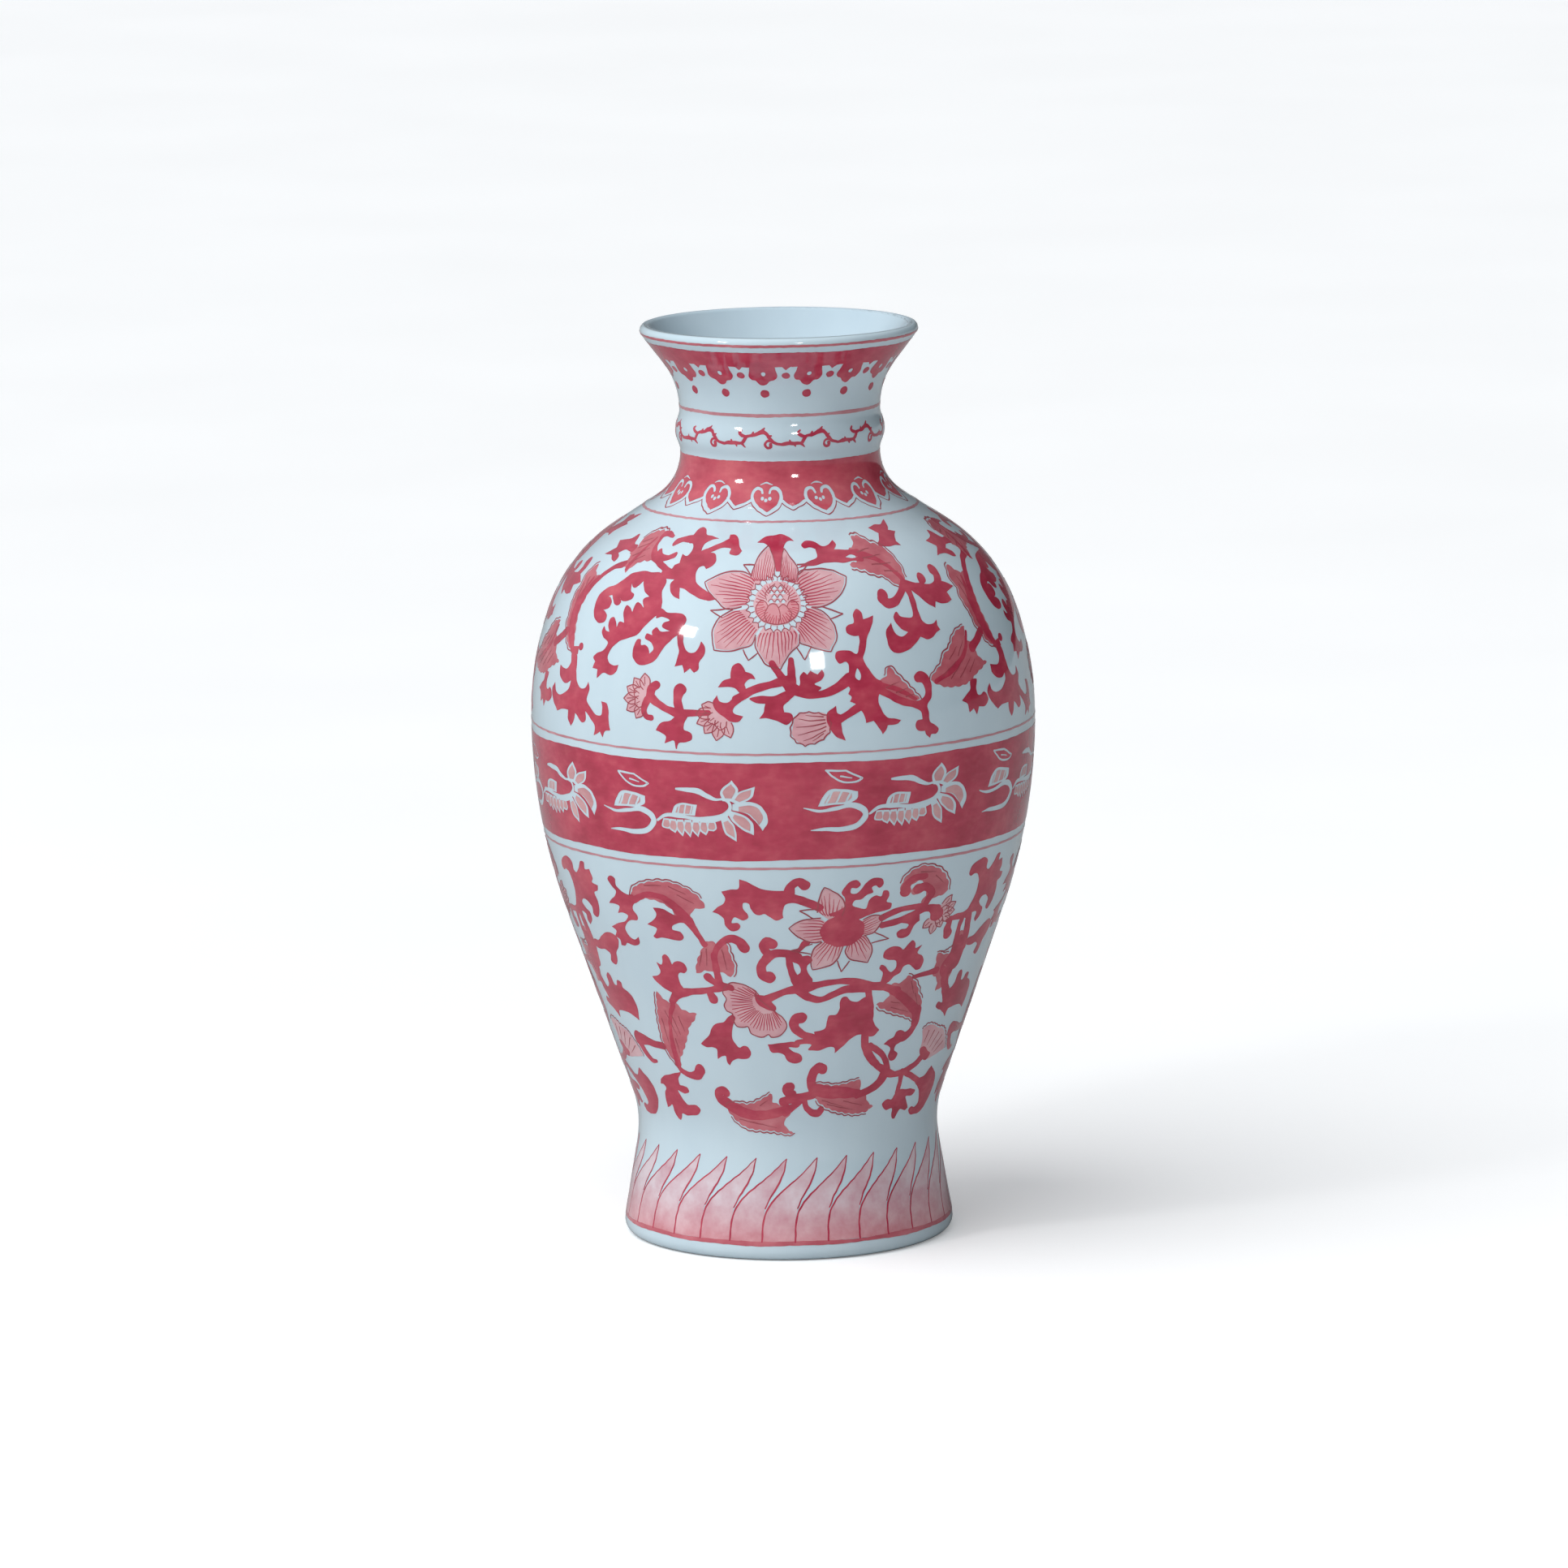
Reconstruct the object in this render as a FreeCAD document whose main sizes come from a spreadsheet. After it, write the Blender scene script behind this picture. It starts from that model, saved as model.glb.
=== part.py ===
"""Painted porcelain baluster vase with a splayed foot, a ringed neck and a flared mouth.

A vase of this size is thrown in four sections that are luted together with slip, glazed outside,
inside and under the foot, and then painted with enamel.  Each of those layers is a solid here.

Everything is turned about the vertical axis.  One run of arcs and straights describes the finished
outer surface, and the same run set back by some depth gives every other surface of the wall.
Millimetres, +Z up, origin at the centre of the face that the foot ring rests on.
"""
import FreeCAD
import Part
import math
import os

import Sketcher

# Driving dimensions, one spreadsheet cell each: alias, value, meaning.
DIMENSIONS = [
    ("overall_height", 406.0, "table to the top of the lip"),
    ("wall", 5.2, "porcelain with its glaze on both faces"),
    ("glaze", 0.4, "thickness of a glaze coat"),
    ("enamel", 0.25, "thickness of the painted enamel"),
    ("seam", 1.0, "height of the slip between two sections"),
    ("foot_edge_round", 4.5, "round along the foot's lower edge"),
    ("foot_lean", 9.5, "how far the foot's side leans in, degrees"),
    ("recess_radius", 63.6, "inner edge of the bare ring that the vase stands on"),
    ("base_recess", 11.0, "table to the underside of the floor"),
    ("recess_round", 4.0, "round between that underside and the foot ring"),
    ("floor", 7.0, "thickness of the floor with its glaze"),
    ("floor_round", 14.0, "round between the floor and the wall, inside"),
    ("waist_radius", 66.6, "narrowest place above the foot"),
    ("waist_height", 49.2, "height of the narrowest place, where the foot is luted on"),
    ("waist_lower_round", 60.7, "hollow below the waist"),
    ("waist_upper_round", 46.7, "hollow above the waist"),
    ("belly_radius", 111.4, "widest place"),
    ("belly_height", 232.1, "height of the widest place, where the shoulder is luted on"),
    ("belly_lower_round", 264.7, "curve below the widest place"),
    ("belly_upper_round", 143.3, "curve above the widest place"),
    ("shoulder_turn", 19.8, "how far that upper curve turns before the shoulder, degrees"),
    ("shoulder_round", 72.8, "curve of the shoulder"),
    ("neck_radius", 43.9, "narrowest place of the neck"),
    ("neck_height", 349.5, "height of that place, where the neck is luted on"),
    ("neck_base_round", 23.3, "hollow between the shoulder and the neck"),
    ("ring_radius", 46.0, "raised ring round the neck"),
    ("ring_height", 359.3, "height of the raised ring"),
    ("ring_round", 14.0, "curve of the raised ring"),
    ("throat_radius", 44.2, "narrow place between the raised ring and the mouth"),
    ("throat_height", 368.4, "height of that narrow place"),
    ("mouth_round", 34.9, "hollow of the flaring mouth"),
    ("mouth_radius", 61.2, "outside of the lip"),
]

# Painted rings: name, lower edge, upper edge.
PAINTED_RINGS = [
    ("painted_foot_line", 6.7, 9.0),
    ("painted_belly_line_lower", 180.8, 182.0),
    ("painted_belly_band", 185.2, 228.4),
    ("painted_belly_line_upper", 231.7, 232.8),
    ("painted_shoulder_line", 325.6, 326.5),
    ("painted_collar_band", 332.0, 350.2),
    ("painted_neck_line", 369.6, 371.1),
    ("painted_mouth_band", 394.4, 399.6),
    ("painted_rim_line", 402.2, 403.2),
]

# Where the sections are luted: the section below, the seam, and the height of the seam's middle.
SEAMS = [
    ("foot_section", "waist_slip_seam", "dims.waist_height"),
    ("lower_body_section", "belly_slip_seam", "dims.belly_height"),
    ("shoulder_section", "neck_slip_seam", "dims.neck_height"),
]
TOP_SECTION = "neck_section"

# Depths below the finished outer surface.
OVER_ENAMEL = "-dims.enamel"
SURFACE = "0"
UNDER_OUTER_GLAZE = "dims.glaze"
UNDER_INNER_GLAZE = "(dims.wall - dims.glaze)"
INSIDE = "dims.wall"

# Height of a surface above the porcelain under the foot.
NO_COAT = "0"

START, END, CENTRE = 1, 2, 3
ORIGIN = (-1, 1)
UPRIGHT = FreeCAD.Vector(0, 0, 1)


def make_sheet(doc):
    """The spreadsheet "dims": one aliased cell for each driving dimension."""
    sheet = doc.addObject("Spreadsheet::Sheet", "dims")
    cells = list(DIMENSIONS)
    for name, bottom, top in PAINTED_RINGS:
        cells.append((f"{name}_bottom", bottom, "height of its lower edge"))
        cells.append((f"{name}_top", top, "height of its upper edge"))
    for row, (alias, number, meaning) in enumerate(cells, start=1):
        sheet.set(f"A{row}", alias)
        sheet.set(f"B{row}", str(number))
        sheet.set(f"C{row}", meaning)
        sheet.setAlias(f"B{row}", alias)
    doc.recompute()
    return sheet


# ---------------------------------------------------------------- drawing an outline

def heading(lean):
    """Unit vector of an outward normal that leans up from level by some angle in radians."""
    return FreeCAD.Vector(math.cos(lean), math.sin(lean), 0)


def straight_lean(lower, lower_curve, upper, upper_curve):
    """Lean of the normal of the straight between two arcs; a hollow's curve counts as negative."""
    across = upper - lower
    rise = math.atan2(across.y, across.x)
    return rise - math.acos((lower_curve - upper_curve) / across.Length)


class Outline:
    """A sketch in the upright plane through the axis, whose constraints follow the sheet."""

    def __init__(self, doc, name):
        self.body = doc.addObject("PartDesign::Body", name)
        self.body.Label = name
        self.sketch = self.body.newObject("Sketcher::SketchObject", f"{name}_outline")
        planes = [plane for plane in self.body.Origin.OriginFeatures if plane.Role == "XZ_Plane"]
        self.sketch.AttachmentSupport = (planes[0], [""])
        self.sketch.MapMode = "FlatFace"

    def number(self, expression):
        """Today's number for an expression over the sheet."""
        return float(self.sketch.evalExpression(expression))

    def tie(self, kind, *where):
        """A constraint that needs no number."""
        self.sketch.addConstraint(Sketcher.Constraint(kind, *where))

    def bind(self, kind, *where, to):
        """A length that follows an expression over the sheet."""
        index = self.sketch.addConstraint(Sketcher.Constraint(kind, *where, self.number(to)))
        self.sketch.setExpression(f"Constraints[{index}]", to)

    def bind_angle(self, geometry, to):
        """A line's direction, or an arc's turn, that follows an expression in degrees."""
        angle = Sketcher.Constraint("Angle", geometry, math.radians(self.number(to)))
        index = self.sketch.addConstraint(angle)
        self.sketch.setExpression(f"Constraints[{index}]", f"({to}) * 1 deg")

    def pin(self, geometry, point, across=None, up=None):
        """Holds a point at a distance from the axis, at a height, or both."""
        if across is not None:
            self.bind("DistanceX", *ORIGIN, geometry, point, to=across)
        if up is not None:
            self.bind("DistanceY", *ORIGIN, geometry, point, to=up)

    def place(self, geometry, point):
        """Where a point is now."""
        return self.sketch.getPoint(geometry, point)

    def line(self, start, end):
        """A straight line."""
        return self.sketch.addGeometry(Part.LineSegment(start, end))

    def closing_line(self, first, second):
        """A straight line that joins two points that are already held."""
        line = self.line(self.place(*first), self.place(*second))
        self.tie("Coincident", *first, line, START)
        self.tie("Coincident", line, END, *second)
        return line

    def bulge(self, centre, radius, low, high):
        """An arc round a centre towards the axis, from one lean up to another.  It starts below."""
        circle = Part.Circle(centre, UPRIGHT, radius)
        return self.sketch.addGeometry(Part.ArcOfCircle(circle, low, high))

    def hollow(self, centre, radius, low, high):
        """An arc round a centre away from the axis, from one lean up to another.  It ends below."""
        circle = Part.Circle(centre, UPRIGHT, radius)
        return self.sketch.addGeometry(Part.ArcOfCircle(circle, high + math.pi, low + math.pi))

    def turned(self):
        """The body, turned from the finished outline."""
        revolution = self.body.newObject("PartDesign::Revolution", f"{self.body.Name}_turned")
        revolution.Profile = self.sketch
        revolution.ReferenceAxis = (self.sketch, ["V_Axis"])
        revolution.Angle = 360.0
        return self.body


# ---------------------------------------------------------------- the wall's run of curves

def dim(outline, name):
    """Today's number in one cell of the sheet."""
    return outline.number(f"dims.{name}")


def crest(outline, name, curve):
    """Centre of the curve that passes upright through a named radius and height."""
    radius = dim(outline, f"{name}_radius")
    return FreeCAD.Vector(radius - curve, dim(outline, f"{name}_height"), 0)


def hold_crest(outline, arc, point, name, depth):
    """Holds an arc's end at a named radius and height, and upright there."""
    outline.pin(arc, point, f"dims.{name}_radius - ({depth})", f"dims.{name}_height")
    outline.tie("Horizontal", arc, point, arc, CENTRE)


def join_by_straight(outline, lower, lower_end, upper, upper_end):
    """A straight that leaves one arc and meets the next without a corner."""
    line = outline.line(outline.place(lower, lower_end), outline.place(upper, upper_end))
    outline.tie("Tangent", lower, lower_end, line, START)
    outline.tie("Tangent", line, END, upper, upper_end)


def draw_foot_side(outline, depth):
    """The foot's straight side and the hollow above it.  Returns the side and the hollow."""
    away = outline.number(depth)
    curve = dim(outline, "waist_lower_round")
    lean = math.radians(dim(outline, "foot_lean"))
    centre = crest(outline, "waist", -curve)
    hollow = outline.hollow(centre, curve + away, lean, 0.0)
    outline.bind("Radius", hollow, to=f"dims.waist_lower_round + ({depth})")
    hold_crest(outline, hollow, START, "waist", depth)
    top = outline.place(hollow, END)
    down_the_side = heading(lean - math.pi / 2)
    side = outline.line(top + down_the_side * (top.y / math.cos(lean) * 0.8), top)
    outline.tie("Tangent", side, END, hollow, END)
    outline.bind_angle(side, "90 + dims.foot_lean")
    return side, hollow


def draw_body(outline, depth, below):
    """Waist to belly to shoulder to neck.  Returns the hollow at the neck's base."""
    away = outline.number(depth)
    names = ("waist_upper_round", "belly_lower_round", "belly_upper_round", "shoulder_round")
    waist, lower, upper, shoulder = (dim(outline, name) for name in names)
    neck = dim(outline, "neck_base_round")
    turn = math.radians(dim(outline, "shoulder_turn"))

    waist_centre = crest(outline, "waist", -waist)
    lower_centre = crest(outline, "belly", lower)
    upper_centre = crest(outline, "belly", upper)
    shoulder_centre = upper_centre + heading(turn) * (upper - shoulder)
    neck_centre = crest(outline, "neck", -neck)
    cone = straight_lean(waist_centre, -waist, lower_centre, lower)
    slope = straight_lean(shoulder_centre, shoulder, neck_centre, -neck)

    waist_arc = outline.hollow(waist_centre, waist + away, 0.0, cone)
    outline.tie("Tangent", below, START, waist_arc, END)
    outline.bind("Radius", waist_arc, to=f"dims.waist_upper_round + ({depth})")

    lower_arc = outline.bulge(lower_centre, lower - away, cone, 0.0)
    outline.bind("Radius", lower_arc, to=f"dims.belly_lower_round - ({depth})")
    hold_crest(outline, lower_arc, END, "belly", depth)
    join_by_straight(outline, waist_arc, START, lower_arc, START)

    upper_arc = outline.bulge(upper_centre, upper - away, 0.0, turn)
    outline.tie("Tangent", lower_arc, END, upper_arc, START)
    outline.bind("Radius", upper_arc, to=f"dims.belly_upper_round - ({depth})")
    outline.bind_angle(upper_arc, "dims.shoulder_turn")

    shoulder_arc = outline.bulge(shoulder_centre, shoulder - away, turn, slope)
    outline.tie("Tangent", upper_arc, END, shoulder_arc, START)
    outline.bind("Radius", shoulder_arc, to=f"dims.shoulder_round - ({depth})")

    neck_arc = outline.hollow(neck_centre, neck + away, slope, 0.0)
    outline.bind("Radius", neck_arc, to=f"dims.neck_base_round + ({depth})")
    hold_crest(outline, neck_arc, START, "neck", depth)
    join_by_straight(outline, shoulder_arc, END, neck_arc, END)
    return neck_arc


def hollow_beside_ring(outline, name, ring_centre):
    """Centre, radius and turn of the hollow that runs from a named narrow place into the ring."""
    radius = dim(outline, f"{name}_radius")
    height = dim(outline, f"{name}_height")
    rise = dim(outline, "ring_radius") - radius
    turn = 2 * math.atan2(rise, abs(ring_centre.y - height))
    curve = rise / (1 - math.cos(turn)) - dim(outline, "ring_round")
    return FreeCAD.Vector(radius + curve, height, 0), curve, turn


def draw_neck(outline, depth, below):
    """The raised ring with a hollow on each side, then the flaring mouth.  Returns the flare."""
    away = outline.number(depth)
    ring = dim(outline, "ring_round")
    ring_centre = crest(outline, "ring", ring)
    low_centre, low_curve, low_turn = hollow_beside_ring(outline, "neck", ring_centre)
    high_centre, high_curve, high_turn = hollow_beside_ring(outline, "throat", ring_centre)

    low_arc = outline.hollow(low_centre, low_curve + away, 0.0, -low_turn)
    outline.tie("Tangent", below, START, low_arc, END)
    ring_arc = outline.bulge(ring_centre, ring - away, -low_turn, high_turn)
    outline.bind("Radius", ring_arc, to=f"dims.ring_round - ({depth})")
    outline.pin(ring_arc, CENTRE, "dims.ring_radius - dims.ring_round", "dims.ring_height")
    outline.tie("Tangent", low_arc, START, ring_arc, START)
    high_arc = outline.hollow(high_centre, high_curve + away, high_turn, 0.0)
    hold_crest(outline, high_arc, START, "throat", depth)
    outline.tie("Tangent", ring_arc, END, high_arc, END)

    mouth = dim(outline, "mouth_round")
    mouth_centre = crest(outline, "throat", -mouth)
    flare = straight_lean(mouth_centre, -mouth, lip_centre(outline), dim(outline, "wall") / 2)
    mouth_arc = outline.hollow(mouth_centre, mouth + away, 0.0, flare)
    outline.tie("Tangent", high_arc, START, mouth_arc, END)
    outline.bind("Radius", mouth_arc, to=f"dims.mouth_round + ({depth})")
    return mouth_arc, flare


def lip_centre(outline):
    """Centre of the round that the lip ends in, in the middle of the wall."""
    half = dim(outline, "wall") / 2
    across = dim(outline, "mouth_radius") - half
    return FreeCAD.Vector(across, dim(outline, "overall_height") - half, 0)


def draw_wall(outline, depth):
    """One surface of the wall, from the foot's side to the start of the lip.

    Returns the side of the foot, the straight under the lip and the lean of that straight."""
    side, hollow = draw_foot_side(outline, depth)
    neck_arc = draw_body(outline, depth, hollow)
    mouth_arc, flare = draw_neck(outline, depth, neck_arc)
    from_lip = heading(flare) * (dim(outline, "wall") / 2 - outline.number(depth))
    rim = outline.line(outline.place(mouth_arc, START), lip_centre(outline) + from_lip)
    outline.tie("Tangent", mouth_arc, START, rim, START)
    return side, rim, flare


# ---------------------------------------------------------------- closing the outlines

def hold_lip_centre(outline, arc):
    """Puts an arc of the lip round the middle of the wall."""
    outline.pin(arc, CENTRE, "dims.mouth_radius - dims.wall / 2", "dims.overall_height - dims.wall / 2")


def draw_outer_lip(outline, rim, flare, depth):
    """The outer half of the lip's round at some depth, up to the top of the lip."""
    radius = dim(outline, "wall") / 2 - outline.number(depth)
    arc = outline.bulge(lip_centre(outline), radius, flare, math.pi / 2)
    outline.bind("Radius", arc, to=f"dims.wall / 2 - ({depth})")
    hold_lip_centre(outline, arc)
    outline.tie("Vertical", arc, END, arc, CENTRE)
    outline.tie("Tangent", rim, END, arc, START)
    return arc


def draw_inner_lip(outline, rim, flare, depth):
    """The inner half of the lip's round at some depth, from the top of the lip."""
    radius = outline.number(depth) - dim(outline, "wall") / 2
    arc = outline.bulge(lip_centre(outline), radius, math.pi / 2, math.pi + flare)
    outline.bind("Radius", arc, to=f"({depth}) - dims.wall / 2")
    hold_lip_centre(outline, arc)
    outline.tie("Vertical", arc, START, arc, CENTRE)
    outline.tie("Tangent", rim, END, arc, END)
    return arc


def draw_whole_lip(outline, outer_rim, inner_rim, flare):
    """The lip's round under both glazes, from the outer face over to the inner one."""
    radius = dim(outline, "wall") / 2 - dim(outline, "glaze")
    arc = outline.bulge(lip_centre(outline), radius, flare, math.pi + flare)
    outline.bind("Radius", arc, to="dims.wall / 2 - dims.glaze")
    hold_lip_centre(outline, arc)
    outline.tie("Tangent", outer_rim, END, arc, START)
    outline.tie("Tangent", inner_rim, END, arc, END)


def centre_beside_foot(outline, side, radius, height):
    """Centre of a round of some radius that touches the foot's side from within, at a height."""
    lean = math.radians(dim(outline, "foot_lean"))
    reach = outline.place(side, START).dot(heading(lean)) - radius - height * math.sin(lean)
    return FreeCAD.Vector(reach / math.cos(lean), height, 0)


def draw_foot_edge(outline, side, depth):
    """The round along the foot's lower edge at some depth."""
    height = dim(outline, "foot_edge_round")
    radius = height - outline.number(depth)
    lean = math.radians(dim(outline, "foot_lean"))
    centre = centre_beside_foot(outline, side, radius, height)
    arc = outline.bulge(centre, radius, -math.pi / 2, lean)
    outline.bind("Radius", arc, to=f"dims.foot_edge_round - ({depth})")
    outline.pin(arc, CENTRE, up="dims.foot_edge_round")
    outline.tie("Vertical", arc, START, arc, CENTRE)
    outline.tie("Tangent", arc, END, side, START)
    return arc


def draw_floor(outline, side, depth):
    """The floor inside, at some depth, from the axis out to its round against the wall."""
    inset = outline.number(f"dims.wall - ({depth})")
    radius = dim(outline, "floor_round") + inset
    floor_top = dim(outline, "base_recess") + dim(outline, "floor") - inset
    lean = math.radians(dim(outline, "foot_lean"))
    centre = centre_beside_foot(outline, side, radius, floor_top + radius)
    arc = outline.bulge(centre, radius, -math.pi / 2, lean)
    outline.bind("Radius", arc, to=f"dims.floor_round + dims.wall - ({depth})")
    outline.tie("Tangent", arc, END, side, START)
    floor = outline.line(FreeCAD.Vector(0, floor_top, 0), outline.place(arc, START))
    outline.tie("Tangent", floor, END, arc, START)
    outline.pin(floor, START, "0", f"dims.base_recess + dims.floor - dims.wall + ({depth})")
    outline.tie("Horizontal", floor)
    return floor


def draw_recess(outline, coat):
    """The hollow under the foot: up from the bare ring's inner edge, round, and in to the axis.

    The coat is how far this surface stands off the porcelain.  Returns both straights."""
    off = outline.number(coat)
    radius = dim(outline, "recess_round") - off
    height = dim(outline, "base_recess") + dim(outline, "glaze") - off
    across = dim(outline, "recess_radius") - off
    corner = FreeCAD.Vector(across - radius, height - radius, 0)
    arc = outline.bulge(corner, radius, 0.0, math.pi / 2)
    outline.bind("Radius", arc, to=f"dims.recess_round - ({coat})")
    upright = outline.line(FreeCAD.Vector(across, 0, 0), outline.place(arc, START))
    level = outline.line(FreeCAD.Vector(0, height, 0), outline.place(arc, END))
    outline.tie("Tangent", upright, END, arc, START)
    outline.tie("Tangent", level, END, arc, END)
    outline.tie("Vertical", upright)
    outline.tie("Horizontal", level)
    outline.pin(upright, START, f"dims.recess_radius - ({coat})", "0")
    outline.pin(level, START, "0", f"dims.base_recess + dims.glaze - ({coat})")
    return upright, level


# ---------------------------------------------------------------- the layers

def porcelain(doc):
    """The whole unglazed wall with its floor, before it is parted into the thrown sections."""
    outline = Outline(doc, "porcelain_blank")
    outer_side, outer_rim, flare = draw_wall(outline, UNDER_OUTER_GLAZE)
    inner_side, inner_rim, flare = draw_wall(outline, UNDER_INNER_GLAZE)
    draw_whole_lip(outline, outer_rim, inner_rim, flare)
    edge = draw_foot_edge(outline, outer_side, UNDER_OUTER_GLAZE)
    floor = draw_floor(outline, inner_side, UNDER_INNER_GLAZE)
    upright, level = draw_recess(outline, NO_COAT)
    edge_low = outline.place(edge, START)
    ring = outline.line(outline.place(upright, START), FreeCAD.Vector(edge_low.x, 0, 0))
    outline.tie("Coincident", upright, START, ring, START)
    outline.tie("Horizontal", ring)
    step = outline.line(outline.place(ring, END), edge_low)
    outline.tie("Coincident", ring, END, step, START)
    outline.tie("Coincident", step, END, edge, START)
    outline.tie("Vertical", step)
    outline.closing_line((level, START), (floor, START))
    return outline.turned()


def outside_coat(doc, name, depths):
    """A coat on the outside of the vase, from the foot's lower edge to the top of the lip."""
    outline = Outline(doc, name)
    edges, lips = [], []
    for depth in depths:
        side, rim, flare = draw_wall(outline, depth)
        edges.append(draw_foot_edge(outline, side, depth))
        lips.append(draw_outer_lip(outline, rim, flare, depth))
    outline.closing_line((edges[0], START), (edges[1], START))
    outline.closing_line((lips[0], END), (lips[1], END))
    return outline.turned()


def inner_glaze(doc):
    """The glaze from the top of the lip, down the inside and across the floor."""
    outline = Outline(doc, "inner_glaze")
    floors, lips = [], []
    for depth in (UNDER_INNER_GLAZE, INSIDE):
        side, rim, flare = draw_wall(outline, depth)
        floors.append(draw_floor(outline, side, depth))
        lips.append(draw_inner_lip(outline, rim, flare, depth))
    outline.closing_line((floors[0], START), (floors[1], START))
    outline.closing_line((lips[0], START), (lips[1], START))
    return outline.turned()


def base_glaze(doc):
    """The glaze under the floor, down to the bare ring."""
    outline = Outline(doc, "base_glaze")
    outer_upright, outer_level = draw_recess(outline, NO_COAT)
    inner_upright, inner_level = draw_recess(outline, "dims.glaze")
    outline.closing_line((outer_upright, START), (inner_upright, START))
    outline.closing_line((outer_level, START), (inner_level, START))
    return outline.turned()


def parted(doc, name, blank, bottom, top):
    """The part of a blank between two heights, as a sub-part of its own."""
    slab = doc.addObject("Part::Cylinder", f"{name}_slab")
    slab.setExpression("Radius", "dims.belly_radius + dims.wall")
    slab.setExpression("Height", f"({top}) - ({bottom})")
    slab.setExpression("Placement.Base.z", bottom)
    piece = doc.addObject("Part::Common", name)
    piece.Label = name
    piece.Base = blank
    piece.Tool = slab
    return piece


def sections_and_seams(doc, blank):
    """The thrown sections, and the slip that fills the gap between each two."""
    pieces = []
    bottom = "0"
    for section, seam, middle in SEAMS:
        seam_bottom = f"{middle} - dims.seam / 2"
        seam_top = f"{middle} + dims.seam / 2"
        pieces.append(parted(doc, section, blank, bottom, seam_bottom))
        pieces.append(parted(doc, seam, blank, seam_bottom, seam_top))
        bottom = seam_top
    pieces.append(parted(doc, TOP_SECTION, blank, bottom, "dims.overall_height"))
    return pieces


def painted_rings(doc, blank):
    """The bands and lines of enamel that run right round the vase."""
    return [
        parted(doc, name, blank, f"dims.{name}_bottom", f"dims.{name}_top")
        for name, bottom, top in PAINTED_RINGS
    ]


# ---------------------------------------------------------------- checking and writing

def check_document(doc):
    """Stops if anything in the document failed to rebuild."""
    failed = [item.Name for item in doc.Objects if {"Invalid", "Error"} & set(item.State)]
    if failed:
        raise RuntimeError(f"failed to rebuild: {failed}")


def check_pieces(pieces):
    """Stops if a sub-part isn't one valid closed solid."""
    for piece in pieces:
        shape = piece.Shape
        if shape.isNull() or not shape.isValid() or len(shape.Solids) != 1:
            raise RuntimeError(f"{piece.Label} is not one valid solid")


def main():
    """Builds the document, checks it and writes each sub-part to its own file."""
    doc = FreeCAD.newDocument("porcelain_vase")
    make_sheet(doc)
    pieces = sections_and_seams(doc, porcelain(doc))
    glaze = outside_coat(doc, "outer_glaze", (SURFACE, UNDER_OUTER_GLAZE))
    pieces += [glaze, inner_glaze(doc), base_glaze(doc)]
    pieces += painted_rings(doc, outside_coat(doc, "enamel_blank", (SURFACE, OVER_ENAMEL)))
    doc.recompute()
    check_document(doc)
    check_pieces(pieces)
    os.makedirs("parts", exist_ok=True)
    for piece in pieces:
        piece.Shape.exportStep(f"parts/{piece.Label}.step")
        print(f"{piece.Label}: {piece.Shape.Volume / 1000:.2f} cm3")


main()
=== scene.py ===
"""Looks of the painted porcelain vase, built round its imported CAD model.

The glaze is one fine turned skin over the CAD profile.  The painting is thin raised enamel: flat
shapes are drawn on the unrolled surface in degrees and millimetres, joined, and wrapped on the vase.
"""
import math

import bpy
import numpy as np
from mathutils import Matrix, Vector
from mathutils.geometry import delaunay_2d_cdt
from mathutils.kdtree import KDTree


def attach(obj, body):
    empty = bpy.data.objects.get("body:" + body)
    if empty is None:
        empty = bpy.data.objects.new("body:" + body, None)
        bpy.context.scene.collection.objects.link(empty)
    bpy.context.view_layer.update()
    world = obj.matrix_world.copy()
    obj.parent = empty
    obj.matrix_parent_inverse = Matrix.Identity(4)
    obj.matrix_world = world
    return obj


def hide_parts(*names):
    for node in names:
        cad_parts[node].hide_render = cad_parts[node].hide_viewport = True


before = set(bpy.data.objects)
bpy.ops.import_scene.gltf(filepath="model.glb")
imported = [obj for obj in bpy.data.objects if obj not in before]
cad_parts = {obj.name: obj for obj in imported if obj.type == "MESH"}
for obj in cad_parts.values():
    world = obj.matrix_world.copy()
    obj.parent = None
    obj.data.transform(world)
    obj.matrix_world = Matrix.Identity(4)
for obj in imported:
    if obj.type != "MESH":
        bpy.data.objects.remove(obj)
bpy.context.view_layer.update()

MM = 0.001
DEG = math.pi / 180
BODY = "root"


# ---------------------------------------------------------------- the vase's surface

KNOT_GAP = 0.05      # mm, profile points closer than this count as one
PROFILE_STEP = 0.1   # mm between points of the smooth profile


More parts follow.
